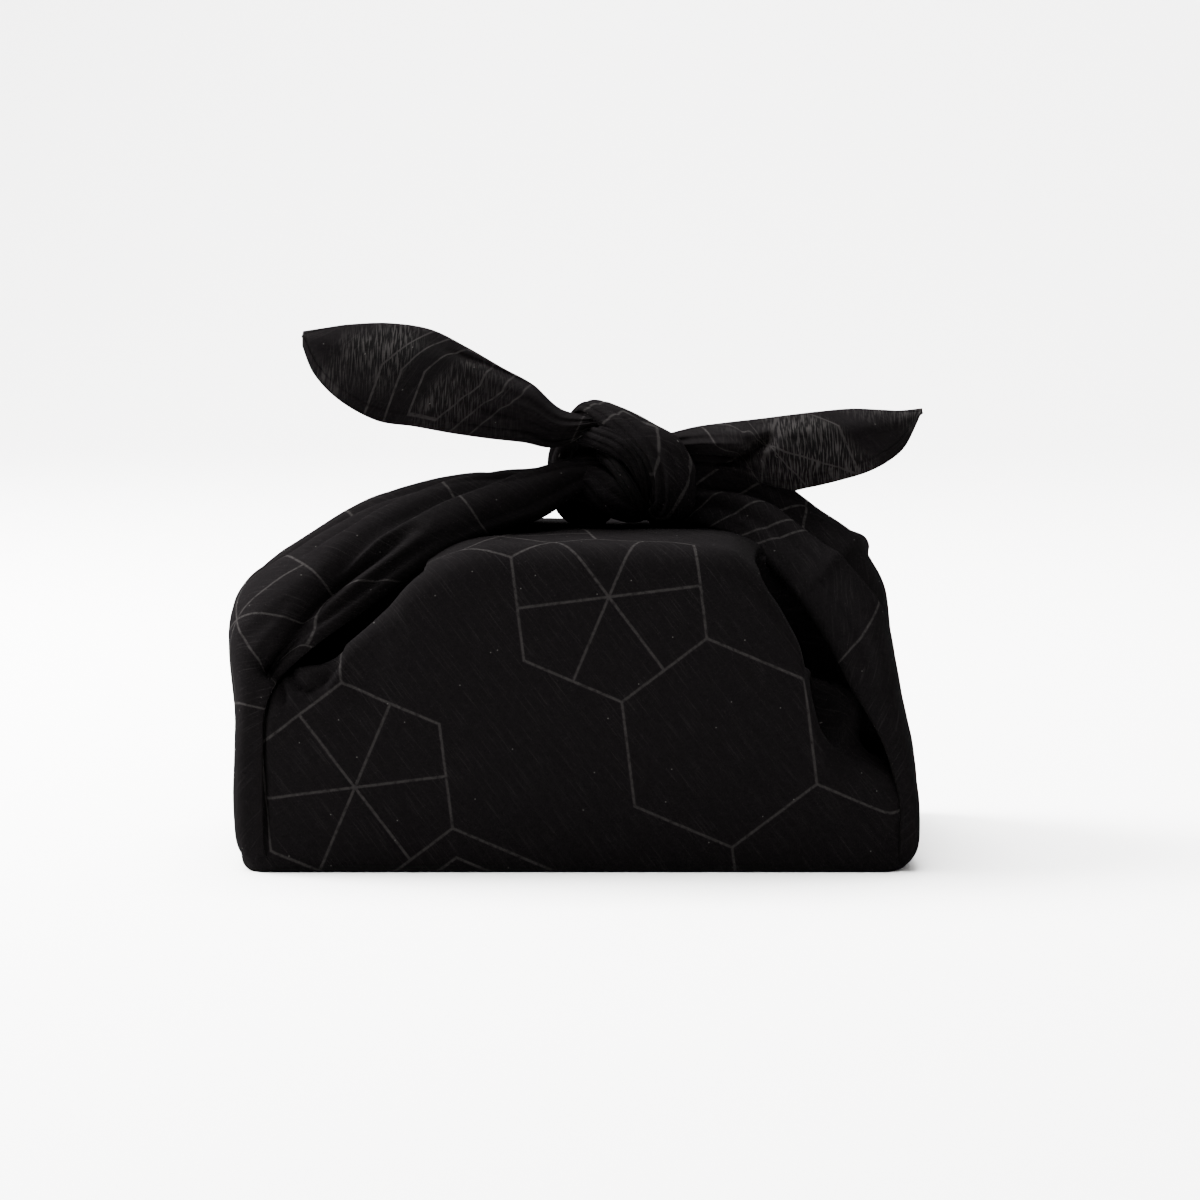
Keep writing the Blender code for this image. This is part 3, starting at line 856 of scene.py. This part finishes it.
@dataclass
class Gather(ClothPart):
    """The cloth of one side, gathered from its foot at the floor up to the knot."""

    side: Side = Side.LEFT
    arches: tuple[Arch, ...] = ()
    pleats: tuple[Pleat, ...] = ()
    pleat_start: float = 0.12    # share of a pleat's run over which it opens
    pleat_end: Span = (-0.08, 0.12)      # from where it closes past its end, and over what run
    curl: float = 0.0032         # radius of the rolled front and back edges
    foot_curl: float = 0.0008
    curl_climb: Span = (0.31, 0.50)
    curl_turn: float = 235.0
    knot_curl: float = 0.4       # how much slimmer the rolls are at the knot
    knot_climb: Span = (0.75, 0.25)
    flutes: float = 9.0          # small folds that run into the knot
    flute_depth: float = 0.0007
    flute_climb: Span = (0.50, 0.35)
    wander: float = 0.05         # how far the small folds stray sideways
    floor_gap: float = 0.0011
    from_middle: float = 0.105   # from the middle of the cloth to the gather's foot
    swells: tuple[Swell, ...] = (Swell(0.0005, 0.050, 11), Swell(0.0002, 0.018, 12))
    rows: int = 210
    columns: int = 150
    fine_points: int = 400
    curl_points: int = 9

    def build(self) -> Piece:
        """Build the gather.

        Returns:
            The finished sheet.
        """
        climb = shares(self.rows)
        x, half_depth, z, crest_x, crest_z, square = spline(metres(self.arches, keep=1), climb).T
        front = np.stack([x, -half_depth, z], axis=-1)[:, None]
        back = np.stack([x, half_depth, z], axis=-1)[:, None]
        crest = np.stack([crest_x, np.zeros_like(x), crest_z], axis=-1)[:, None]
        middle = (front + back) / 2.0
        points, distance = self._surface(front, crest - middle, middle, 2.0 / square[:, None, None])
        normals = grid_normals(points, middle)
        points = points + normals * self._folds(points, climb, distance)[..., None]
        points = self._with_curls(points, front, back, unit(crest - middle), climb)
        points[..., 2] = np.maximum(points[..., 2], self.floor_gap)
        halfway = [points.shape[1] // 2]
        length = run_length(points, 1)
        reach = self.from_middle + run_length(points[:, halfway], 0)
        cloth = on_cloth(self.side.value * reach, length - length[:, halfway])
        faces = quads(*points.shape[:2])
        return self.made(points, faces, cloth.reshape(-1, 2)[faces], points - middle)

    def _surface(self, front: Array, lift: Array, middle: Array, power: Array) -> tuple[Array, Array]:
        """The smooth gather, its points spread evenly across each row.

        Args:
            front: the front edge.
            lift: the way from the middle of each arch to its crest.
            middle: of each arch, between its edges.
            power: of each arch, 1 for a round one and less for a square one.

        Returns:
            The points, and their distance from the front edge.
        """
        angle = math.pi * shares(self.fine_points)[None, :, None]
        level = (front - middle) * signed_power(np.cos(angle), power)
        dense = middle + level + lift * np.sin(angle) ** power
        length = run_length(dense, 1)
        distance = shares(self.columns) * length[:, -1:]
        points = np.empty((self.rows, self.columns, 3))
        for row, axis in np.ndindex(self.rows, 3):
            points[row, :, axis] = np.interp(distance[row], length[row], dense[row, :, axis])
        return points, distance

    def _folds(self, points: Array, climb: Array, distance: Array) -> Array:
        """Pleats and the small folds at the knot, as heights along the normals.

        Args:
            points: the smooth gather.
            climb: how far up each row lies.
            distance: of each point from the front edge.

        Returns:
            The height at each point.
        """
        height = ripple(points, self.swells)
        width = distance[:, -1:]
        for pleat in self.pleats:
            stops, spots = np.array(pleat.path).T
            spot = np.interp(climb, stops, spots * MM)[:, None]
            gap = width - distance + spot if spots[0] < 0.0 else distance - spot
            reach = np.where(gap < 0.0, pleat.near, pleat.far) * MM
            opened = ease(climb, stops[0], (stops[-1] - stops[0]) * self.pleat_start)
            opened = opened * ease(stops[-1] - climb, *self.pleat_end)
            height -= pleat.depth * MM * bell(gap, reach) * opened[:, None]
        share = distance / width
        stray = self.wander * np.sin(9.0 * share + 3.0 * climb[:, None])
        wave = np.cos(FULL_TURN * self.flutes * (share + stray))
        flute = np.sqrt(np.maximum(0.0, 0.5 + 0.5 * wave)) - 0.6
        return height + self.flute_depth * ease(climb, *self.flute_climb)[:, None] * flute

    def _with_curls(self, points: Array, front: Array, back: Array, up: Array, climb: Array) -> Array:
        """Roll the front and back edges under.

        Args:
            points: the folded gather.
            front: its front edge.
            back: its back edge.
            up: the way of each arch's crest.
            climb: how far up each row lies.

        Returns:
            The points with those of the two rolls added.
        """
        low, high = self.curl_climb
        radius = self.foot_curl + (self.curl - self.foot_curl) * ease(climb, low, high - low)
        radius = (radius * (1.0 - self.knot_curl * ease(climb, *self.knot_climb)))[:, None, None]
        turn = (math.radians(self.curl_turn) * shares(self.curl_points))[None, 1:, None]
        rolls = []
        for edge, other in ((points[:, :1], back), (points[:, -1:], front)):
            inwards = unit(other - edge)
            rolls.append(edge + radius * (inwards * (1.0 - np.cos(turn)) - up * np.sin(turn)))
        return np.concatenate([rolls[0][:, ::-1], points, rolls[1]], axis=1)


@dataclass
class KnotTurn(ClothPart):
    """One pleated turn of the knot."""

    steps: tuple[Step, ...] = ()
    pleats: int = 7
    pleat_depth: float = 0.10
    pleat_power: float = 1.5     # above 1, the pleats are sharp valleys between round ridges
    uneven: float = 0.25
    twist: float = 0.6
    phase: float = 0.0
    place: Span = (0.0, 0.0)     # of its start on the flat cloth
    girth: float = 3.0           # times its usual width
    look: float = 0.02
    end_rows: float = 6.0        # over which each end closes
    swells: tuple[Swell, ...] = (Swell(0.00025, 0.012, 21),)
    rows: int = 110
    ring: int = 84

    def build(self) -> Piece:
        """Build the turn.

        Returns:
            The finished turn, closed at both ends.
        """
        t = shares(self.rows)
        rows = metres(self.steps, keep=1)
        values = spline(rows, t)
        centres = values[:, None, :3]
        along = unit((spline(rows, t + self.look) - spline(rows, t - self.look))[:, :3])
        facing = np.radians(values[:, 5])
        look = np.stack([np.zeros_like(facing), -np.cos(facing), np.sin(facing)], axis=1)
        look = unit(look - along * np.sum(look * along, axis=1, keepdims=True))
        wide = np.cross(along, look)
        angle = FULL_TURN * np.arange(self.ring)[None, :] / self.ring
        size = self._pleated(t[:, None], angle) / 2.0
        width = (values[:, 3:4] * np.cos(angle) * size)[..., None]
        thick = (values[:, 4:5] * np.sin(angle) * size)[..., None]
        points = centres + wide[:, None] * width + look[:, None] * thick
        points = points + unit(points - centres) * ripple(points, self.swells)[..., None]
        around = (shares(self.ring + 1)[None, :] - 0.5) * self.girth * float(np.mean(values[:, 3]))
        start_across, start_along = self.place
        cloth = on_cloth(start_across + run_length(points[:, [0]], 0), start_along + around)
        faces = quads(self.rows, self.ring, ring=True)
        seats = quads(self.rows, self.ring + 1)
        return self.made(points, faces, cloth.reshape(-1, 2)[seats], points - centres)

    def _pleated(self, t: Array, angle: Array) -> Array:
        """Size of the turn's section with its pleats: 1 on a pleat's top, 0 at the ends.

        Args:
            t: how far along the turn.
            angle: round the turn.

        Returns:
            The size at each point.
        """
        wave = np.abs(np.sin(0.5 * self.pleats * angle + self.phase + self.twist * math.pi * t))
        share = 1.0 - self.uneven + self.uneven * np.sin(2.0 * angle + 5.0 * t + self.phase)
        valley = self.pleat_depth * share * (1.0 - wave) ** self.pleat_power
        closing = np.minimum(1.0, np.minimum(t, 1.0 - t) * self.rows / self.end_rows)
        return (1.0 - valley) * np.sqrt(closing * (2.0 - closing))


@dataclass
class LooseCorner(ClothPart):
    """A loose corner of the cloth, folded over along its top, with its rolled hems."""

    side: Side = Side.LEFT
    leaves: tuple[Leaf, ...] = ()
    folds: tuple[Crease, ...] = ()
    fold_power: float = 6.0
    crown_power: float = 1.5     # above 1, the front is fullest above its middle
    flutes: float = 4.0
    flute_depth: float = 0.0007
    flute_end: Span = (-0.75, 0.6)
    hem: float = 0.0045          # width of the rolled hem
    hem_height: float = 0.00045
    hem_edge: float = 0.0008
    swells: tuple[Swell, ...] = (Swell(0.0006, 0.030, 31),)
    rows: int = 170
    front_columns: int = 76
    back_columns: int = 56

    def build(self) -> Piece:
        """Build the loose corner.

        Returns:
            The finished sheet.
        """
        along = shares(self.rows)
        values = spline(metres(self.leaves, keep=1), along)
        top_x, top_z, foot_x, foot_z, bulge, gap, behind = (column[:, None] for column in values.T)
        front_rise = np.broadcast_to(shares(self.front_columns), (self.rows, self.front_columns))
        back_rise = 1.0 - behind * shares(self.back_columns)[1:]
        rise = np.concatenate([front_rise, back_rise], axis=1)
        front_y = -gap / 2.0 - bulge * np.sin(math.pi * front_rise ** self.crown_power)
        y = np.concatenate([front_y, gap / 2.0 + np.zeros_like(back_rise)], axis=1)
        y = y * np.sqrt(np.maximum(1.0 - rise ** self.fold_power, 0.0))
        x = foot_x + (top_x - foot_x) * rise
        z = foot_z + (top_z - foot_z) * rise
        points = self._folded(np.stack([x, y, z], axis=-1), along, rise)
        length = run_length(points, 1)
        from_back = length[:, -1:] - length
        tip = 2.0 * run_length(points[::-1, [self.front_columns // 2]], 0)[::-1]
        lower, upper = (self.side.value * (SQUARE / 2.0 - np.stack(pair, axis=-1) / math.sqrt(2.0))
                        for pair in ((length, tip - length), (tip - from_back, from_back)))
        column = np.arange(points.shape[1])
        fold = self.front_columns - 1
        faces = quads(*points.shape[:2])
        at_back = (faces[:, 0] % len(column) >= fold)[:, None, None]
        cloth = np.where(at_back, upper.reshape(-1, 2)[faces], lower.reshape(-1, 2)[faces])
        outward = np.zeros_like(points)
        outward[..., 1] = np.where(column < fold, -1.0, 1.0)
        return self.made(points, faces, cloth, outward)

    def _folded(self, points: Array, along: Array, rise: Array) -> Array:
        """Add the folds that run out of the knot, the hems and a little unevenness.

        Args:
            points: the smooth corner.
            along: how far each row lies from the knot.
            rise: of each point between foot and top.

        Returns:
            The points moved to their places.
        """
        in_front = np.arange(points.shape[1])[None, :] < self.front_columns
        wave = np.cos(FULL_TURN * self.flutes * rise + 4.0 * along[:, None])
        push = self.flute_depth * ease(-along, *self.flute_end)[:, None] * wave + ripple(points, self.swells)
        for fold in self.folds:
            gap, share = path_distance(points[..., [0, 2]], fold.path)
            height = fold.height * MM * bell(gap, fold.reach * MM) * ease(1.0 - share, run=fold.fade)
            push = push + np.where(in_front, height, 0.0)
        length = run_length(points, 1)
        from_hem = np.minimum(length, length[:, -1:] - length)
        roll = self.hem_height * ease(self.hem - from_hem, run=self.hem_edge)
        moved = points.copy()
        moved[..., 1] += push + np.where(in_front, -roll, roll)
        return moved


# ---- the studio
@dataclass
class Studio:
    """A pale sweep under soft light, and the camera."""

    floor_size: float = 9.0
    sweep_start: float = 2.2
    sweep_radius: float = 0.9
    sweep_steps: int = 24
    wall_height: float = 4.0
    air: Colour = (1.0, 0.99, 0.985, 1.0)
    air_strength: float = 0.40
    frame_pixels: float = 1200.0
    pixel: float = 0.00032       # metres at the wrap for one pixel of the frame
    distance: float = 1.25
    pitch: float = 5.4
    aim: Point = (0.00736, 0.0, 0.0777)
    sensor: float = 36.0
    far: float = 50.0
    lamps: tuple[Lamp, ...] = table(
        Lamp,
        ("overhead_softbox", (-0.50, 0.40, 1.70), (0.0, 0.10, 0.0), 2.0, 1.9, 235.0),
        ("key_softbox", (-1.25, 0.30, 1.05), (0.0, 0.0, 0.05), 0.8, 0.8, 205.0),
        ("floor_front_light", (0.0, -1.05, 2.5), (0.0, -0.8, 0.0), 1.6, 0.8, 42.0),
        ("backdrop_light", (0.0, 1.6, 2.6), (0.0, 3.0, 0.6), 3.0, 1.0, 330.0),
    )

    def build(self) -> None:
        """Build floor, backdrop, lights and camera."""
        self._floor()
        self._world()
        for lamp in self.lamps:
            self._light(lamp)
        self._camera()
        LOG.info("studio: floor, backdrop, lights and camera")

    def _floor(self) -> None:
        """A floor that sweeps up into a backdrop."""
        half = self.floor_size / 2.0
        wall = self.sweep_start + self.sweep_radius
        turns = [math.radians(90.0 * i / self.sweep_steps) for i in range(self.sweep_steps + 1)]
        sweep = [(self.sweep_start + self.sweep_radius * math.sin(turn),
                  self.sweep_radius * (1.0 - math.cos(turn))) for turn in turns]
        profile = [(-half, 0.0), *sweep, (wall, self.wall_height)]
        points = [(x, y, z) for y, z in profile for x in (-half, half)]
        faces = [(2 * i, 2 * i + 1, 2 * i + 3, 2 * i + 2) for i in range(len(profile) - 1)]
        mesh = bpy.data.meshes.new("studio_sweep")
        mesh.from_pydata(points, [], faces)
        mesh.shade_smooth()
        mesh.materials.append(Paper("studio_paper").make())
        linked("studio_sweep", mesh)

    def _world(self) -> None:
        """A dim, even surround."""
        world = bpy.data.worlds.new("studio_air")
        world.use_nodes = True
        sky = world.node_tree.nodes["Background"]
        sky.inputs["Color"].default_value = self.air
        sky.inputs["Strength"].default_value = self.air_strength
        bpy.context.scene.world = world

    def _light(self, lamp: Lamp) -> None:
        """Add a soft light.

        Args:
            lamp: its name, place, size and power.
        """
        data = bpy.data.lights.new(lamp.name, "AREA")
        data.shape = "RECTANGLE"
        data.size = lamp.width
        data.size_y = lamp.length
        data.energy = lamp.power
        light = linked(lamp.name, data)
        light.location = lamp.place
        x, y, z = (a - b for a, b in zip(lamp.place, lamp.aim))
        light.rotation_euler = (math.atan2(math.hypot(x, y), z), 0.0, math.atan2(x, -y))
        light.visible_camera = False

    def _camera(self) -> None:
        """A camera that looks slightly down on the wrap from the front."""
        data = bpy.data.cameras.new("studio_camera")
        data.sensor_width = self.sensor
        data.lens = self.sensor * self.distance / (self.pixel * self.frame_pixels)
        data.clip_end = self.far
        camera = linked("studio_camera", data)
        tilt = math.radians(self.pitch)
        x, y, z = self.aim
        camera.location = (x, y - self.distance * math.cos(tilt), z + self.distance * math.sin(tilt))
        camera.rotation_euler = (math.pi / 2.0 - tilt, 0.0, 0.0)
        bpy.context.scene.camera = camera


# ---- the wrap
STATIONS = table(
    Station,
    (-103.5, 42, 2, 10, 12, 4), (-102.2, 50, 6, 10, 6, 1.5), (-99.2, 54.5, 14, 12, 1.8),
    (-94.5, 56, 20, 14), (-84, 63.5, 22, 14), (-77, 65.5, 23, 14), (-69, 73, 21.5, 14),
    (-59, 82, 14, 14), (-50, 90.5, 8, 12), (-40, 96.5, 3.5, 8), (-29, 99.5, 1, 4), (-10, 100, 1),
    (10, 100.2, 1), (30, 100.5, 1), (45, 99.5, 1.5), (53, 95, 4), (59, 88, 8), (65, 79, 13),
    (69, 71, 19), (71.5, 59, 29), (75, 46, 40), (82, 35, 46), (91, 31.5, 42), (96.5, 30, 28, 0, 0.8),
    (101, 28, 13, 0, 4, 1.2), (103, 24, 4, 0, 10, 4),
)
CREASES = table(
    Crease,
    (((-56, 79), (-64, 66), (-70, 48)), -2, 6, 0.4),
    (((-88.5, 62), (-85.5, 57.7), (-81.5, 56.4), (-77.4, 58.5), (-74.1, 64),
      (-72.5, 68)), -3, 1.6, 0.25),
    (((-85, 53.5), (-81, 52.5), (-75.5, 55), (-71.5, 62)), 1.4, 2.6, 0.4),
    (((-90.8, 58.5), (-89.6, 55.2), (-88.6, 52)), -3.2, 1, 0.5),
    (((-94, 59), (-95.6, 47.7), (-96, 34.2), (-95.5, 21.6), (-94.5, 6)), -3, 1.3, 0.2),
    (((87, 54), (84.5, 40)), 4.2, 3.4, 0.4),
    (((85, 31.5), (93, 24.5), (98.5, 17)), 1.6, 4.2, 0.5),
    (((82, 26), (90, 18), (96, 10)), -1.2, 3, 0.5),
)
HOLLOWS = table(
    Crease,
    (((-86, 64), (-77, 66), (-69, 74), (-59, 83), (-48, 92)), 6.5, 4.2),
    (((58, 94), (63, 87.5), (68.5, 79), (74, 69), (80, 60), (84, 56)), 20, 5),
    (((74, 60), (76.5, 49), (80, 39)), 8, 3),
    (((90, 45.5), (94.5, 35)), 9, 3.4),
)
LEFT_ARCHES = table(
    Arch,
    (-91.8, 60, 0, -96.8, 0, 6), (-94.1, 62.4, 3, -101.4, 3, 6), (-96, 64, 9, -104.8, 9, 6),
    (-96.2, 64.5, 22, -105.6, 22, 6), (-96.2, 64.5, 38, -106, 38, 5.5),
    (-95.6, 64, 51, -106.4, 56, 4.5), (-92, 62, 61, -108.5, 73, 3.6), (-83.5, 58.5, 69.8, -104, 86, 3),
    (-69, 50, 80, -85.5, 99, 2.7), (-53.5, 42, 90.3, -66.5, 110, 2.4), (-38.5, 34, 99, -48, 116, 2.3),
    (-24, 26, 104, -30, 121, 2.2), (-11, 19, 108, -14, 123.5, 2.2), (-1, 11, 113.5, -1.5, 125.5, 2.2),
    (8, 5, 117.5, 8, 124, 2.2),
)
RIGHT_ARCHES = table(
    Arch,
    (96.5, 59, 0, 99, 0, 6), (98.5, 61.5, 3, 103.6, 3, 6), (99.6, 62.5, 9, 106.2, 9, 6),
    (99.5, 62, 22, 106, 22, 5.5), (95.5, 59, 37, 104.5, 37, 5), (90.5, 54.5, 49, 101.5, 52, 4.2),
    (86, 50, 58, 99.8, 68, 3.6), (80, 44, 69.5, 98, 84, 3.1), (72.5, 37, 80.5, 89.5, 97, 2.8),
    (63.5, 29, 90.5, 77.5, 106, 2.5), (51.5, 20, 99.5, 64, 116.5, 2.4), (41, 13, 103.5, 50, 124, 2.3),
    (31, 10, 104.5, 35, 126, 2.2),
)
LEFT_PLEATS = table(
    Pleat,
    (((0.406, 1.5), (0.48, 3), (0.564, 9), (0.6, 9.8), (0.63, 9.8)), 7.4, 2.4, 3.2),
    (((0.43, 14), (0.51, 12.5), (0.58, 14)), 1, 3, 3),
    (((0.56, 13.8), (0.592, 14.5), (0.64, 17), (0.69, 16.8), (0.765, 18), (0.84, 18.5),
      (0.91, 17.5)), 3.2, 1.8, 6),
    (((0.406, 1), (0.536, 2), (0.647, 3)), 2.4, 1.2, 2),
    (((0.554, 30), (0.684, 33), (0.833, 31)), 2.2, 1.6, 5),
    (((0.489, 60), (0.629, 52), (0.814, 33), (0.954, 22)), 3, 8, 3),
    (((0.443, -10), (0.629, -19), (0.907, -14)), 5.5, 10, 3),
    (((0.489, -40), (0.721, -30), (0.907, -23)), 3.5, 6, 4),
)
RIGHT_PLEATS = table(
    Pleat,
    (((0.505, 30), (0.606, 25.5), (0.716, 20.5), (0.817, 19), (0.954, 12)), 6.5, 2.4, 8),
    (((0.45, 4), (0.588, 8), (0.771, 8), (0.954, 5)), 1.4, 1.8, 3),
    (((0.496, -12), (0.679, -18), (0.927, -12)), 5, 9, 3),
    (((0.496, -42), (0.725, -32), (0.908, -22)), 3.5, 6, 4),
    (((0.633, 79), (0.688, 27)), -2.6, 20, 20),
)
KNOT_CORE = table(
    Step,
    (5, 6, 119, 12, 10, 0), (10, 5, 118.5, 21, 14, 0), (19, 4, 118, 24, 18, 0),
    (29, 3, 117.5, 20, 14, 0), (35, 3, 117, 10, 8, 0),
)
FRONT_WRAP = table(
    Step,
    (1, 8, 133, 12, 8, 105), (5, 4, 138, 12, 7, 92), (11.2, -2, 136, 12, 8, 80),
    (19, -8, 131.8, 12.5, 9, 60), (26.8, -12.5, 126, 14, 10, 32), (30.5, -14, 118, 14.5, 11, 5),
    (30.2, -12, 109.5, 14, 11, -20), (25, -4, 104.5, 12, 9, -50),
)
INNER_TURN = table(
    Step,
    (2, 3, 130, 7, 6, 50), (6.5, -6, 130, 8, 6.5, 35), (13, -10.5, 128.3, 8.5, 6.5, 25),
    (18.5, -12, 124.3, 8, 6, 10), (21.3, -12, 117.5, 6.5, 5.5, 0), (22.5, -8, 109.5, 5, 5, -20),
)
SECOND_TURN = table(
    Step,
    (7.5, -2, 123.8, 4, 4, 20), (11, -9.5, 122.2, 4.2, 4.2, 20), (14.5, -12.5, 118, 4.6, 4.6, 10),
    (18, -12.5, 112.5, 4.6, 4.6, 0), (20.5, -8, 107, 4, 4, -20),
)
BULB = table(
    Step,
    (1, 0, 118, 8, 8, 0), (5.8, -5.5, 116, 11.5, 10, 0), (10.5, -8, 112.5, 14.5, 12, -5),
    (16.5, -7.5, 109.5, 13.5, 11, -10), (22.5, -2, 107, 8, 7, -20),
)
BACK_WRAP = table(
    Step,
    (11, 4, 133, 12, 8, 120), (3.5, 8.5, 130.5, 15, 9, 140), (-1, 11, 124, 16, 10, 165),
    (-1.2, 10.5, 116, 17, 11, 185), (2, 6, 109, 17, 11, 200), (10, 0, 106, 13, 10, 220),
)
LEFT_LEAVES = table(
    Leaf,
    (8, 136.5, 8, 132.5, 2, 4, 0.85), (-4.5, 138.6, -6.5, 126.8, 5, 8, 0.85),
    (-14, 146.6, -17, 128.4, 7, 9, 0.8), (-24, 152.2, -28, 129.6, 8, 9, 0.72),
    (-35, 158.6, -39, 131.2, 9, 8.5, 0.62), (-46.5, 164.2, -51.5, 133.4, 9, 7.5, 0.5),
    (-59.5, 166.2, -63.5, 135.2, 8, 6, 0.38), (-72, 165.8, -75.5, 141.7, 6, 5, 0.26),
    (-80, 164.7, -83.5, 150, 4, 4.4, 0.18), (-87, 163.6, -87.2, 159, 1, 4, 0.12),
)
RIGHT_LEAVES = table(
    Leaf,
    (29, 131, 33, 121.5, 4, 7, 0.85), (38, 133.2, 43, 120.5, 5, 8, 0.85),
    (48, 134.6, 52, 118.2, 7, 8.5, 0.8), (59, 135.9, 64, 112.7, 8, 8.5, 0.72),
    (69, 137.2, 73.5, 113.9, 8, 8, 0.62), (79, 138.3, 83, 116.1, 8, 7, 0.5),
    (88, 139, 92, 118.7, 7, 6, 0.38), (96, 138.7, 99, 122.2, 5, 5, 0.28),
    (103, 138.4, 104.5, 127, 3, 4.4, 0.2), (110, 139.1, 108.5, 135, 1, 4, 0.14),
)
LEFT_FOLDS = table(
    Crease,
    (((-8.3, 144), (-30.5, 153.5), (-44, 158.8)), 2.2, 0.9, 0.3),
    (((-5, 130), (-25, 139), (-45, 147)), 1.8, 2.6, 0.6),
    (((-15, 131), (-40, 135), (-62, 140)), -1.8, 4, 0.6),
)
RIGHT_FOLDS = table(
    Crease,
    (((34, 122.5), (45, 123), (53, 124.5), (60, 129), (66, 134)), 6, 1.8, 0.35),
    (((42, 120), (56, 118.5), (68, 118)), -3, 3.4, 0.5),
    (((38, 129), (52, 130), (64, 134.5)), -1.6, 2.6, 0.6),
)
BLANK = (0.012, -0.109)      # a place on the cloth with no printed line near it, in metres


@dataclass
class Furoshiki:
    """The whole wrap: one cloth in its parts."""

    sheet: float = 0.0010        # thickness of the cotton where its edge shows
    turn_phase: float = 0.7

    def plan(self) -> list[ClothPart]:
        """List the parts of the cloth from the box up to the loose corners.

        Returns:
            The parts, ready to be built.
        """
        turns = (
            ("knot_core", KNOT_CORE, 9, 0.14, 0.2, (0.037, 0.033), BLANK),
            ("knot_back_wrap", BACK_WRAP, 8, 0.20, 0.5, (0.035, 0.031), (0.300, 0.020)),
            ("knot_bulb", BULB, 8, 0.20, 0.5, (0.028, 0.025), BLANK),
            ("knot_second_turn", SECOND_TURN, 5, 0.24, 0.5, (0.0225, 0.0107), BLANK),
            ("knot_inner_turn", INNER_TURN, 9, 0.34, 0.35, (0.030, 0.021), BLANK),
            ("knot_front_wrap", FRONT_WRAP, 9, 0.22, 0.5, (0.046, 0.034), (0.300, 0.080)),
        )
        return [
            BoxWrap("box_wrap", (0.330, 0.420), Held.FOLDED,
                    stations=STATIONS, creases=CREASES, hollows=HOLLOWS),
            Gather("left_gather", (0.180, 0.160), thickness=self.sheet, side=Side.LEFT,
                   arches=LEFT_ARCHES, pleats=LEFT_PLEATS),
            Gather("right_gather", (0.155, 0.135), thickness=self.sheet, side=Side.RIGHT,
                   arches=RIGHT_ARCHES, pleats=RIGHT_PLEATS, curl=0.0026),
            *(KnotTurn(name, flat, steps=steps, pleats=pleats, pleat_depth=depth, twist=twist,
                       phase=self.turn_phase * number, place=place)
              for number, (name, steps, pleats, depth, twist, flat, place) in enumerate(turns)),
            LooseCorner("left_corner", (0.105, 0.055), thickness=self.sheet, side=Side.LEFT,
                        leaves=LEFT_LEAVES, folds=LEFT_FOLDS),
            LooseCorner("right_corner", (0.095, 0.045), thickness=self.sheet, side=Side.RIGHT,
                        leaves=RIGHT_LEAVES, folds=RIGHT_FOLDS),
        ]

    def build(self) -> None:
        """Build and dress every part."""
        cotton = SlubCotton().make()
        for part in self.plan():
            part.dress(part.build(), cotton)


def main() -> None:
    """Build the wrap and its studio."""
    logging.basicConfig(level=logging.INFO, format="%(message)s")
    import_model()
    Furoshiki().build()
    Studio().build()


if __name__ == "__main__":
    main()
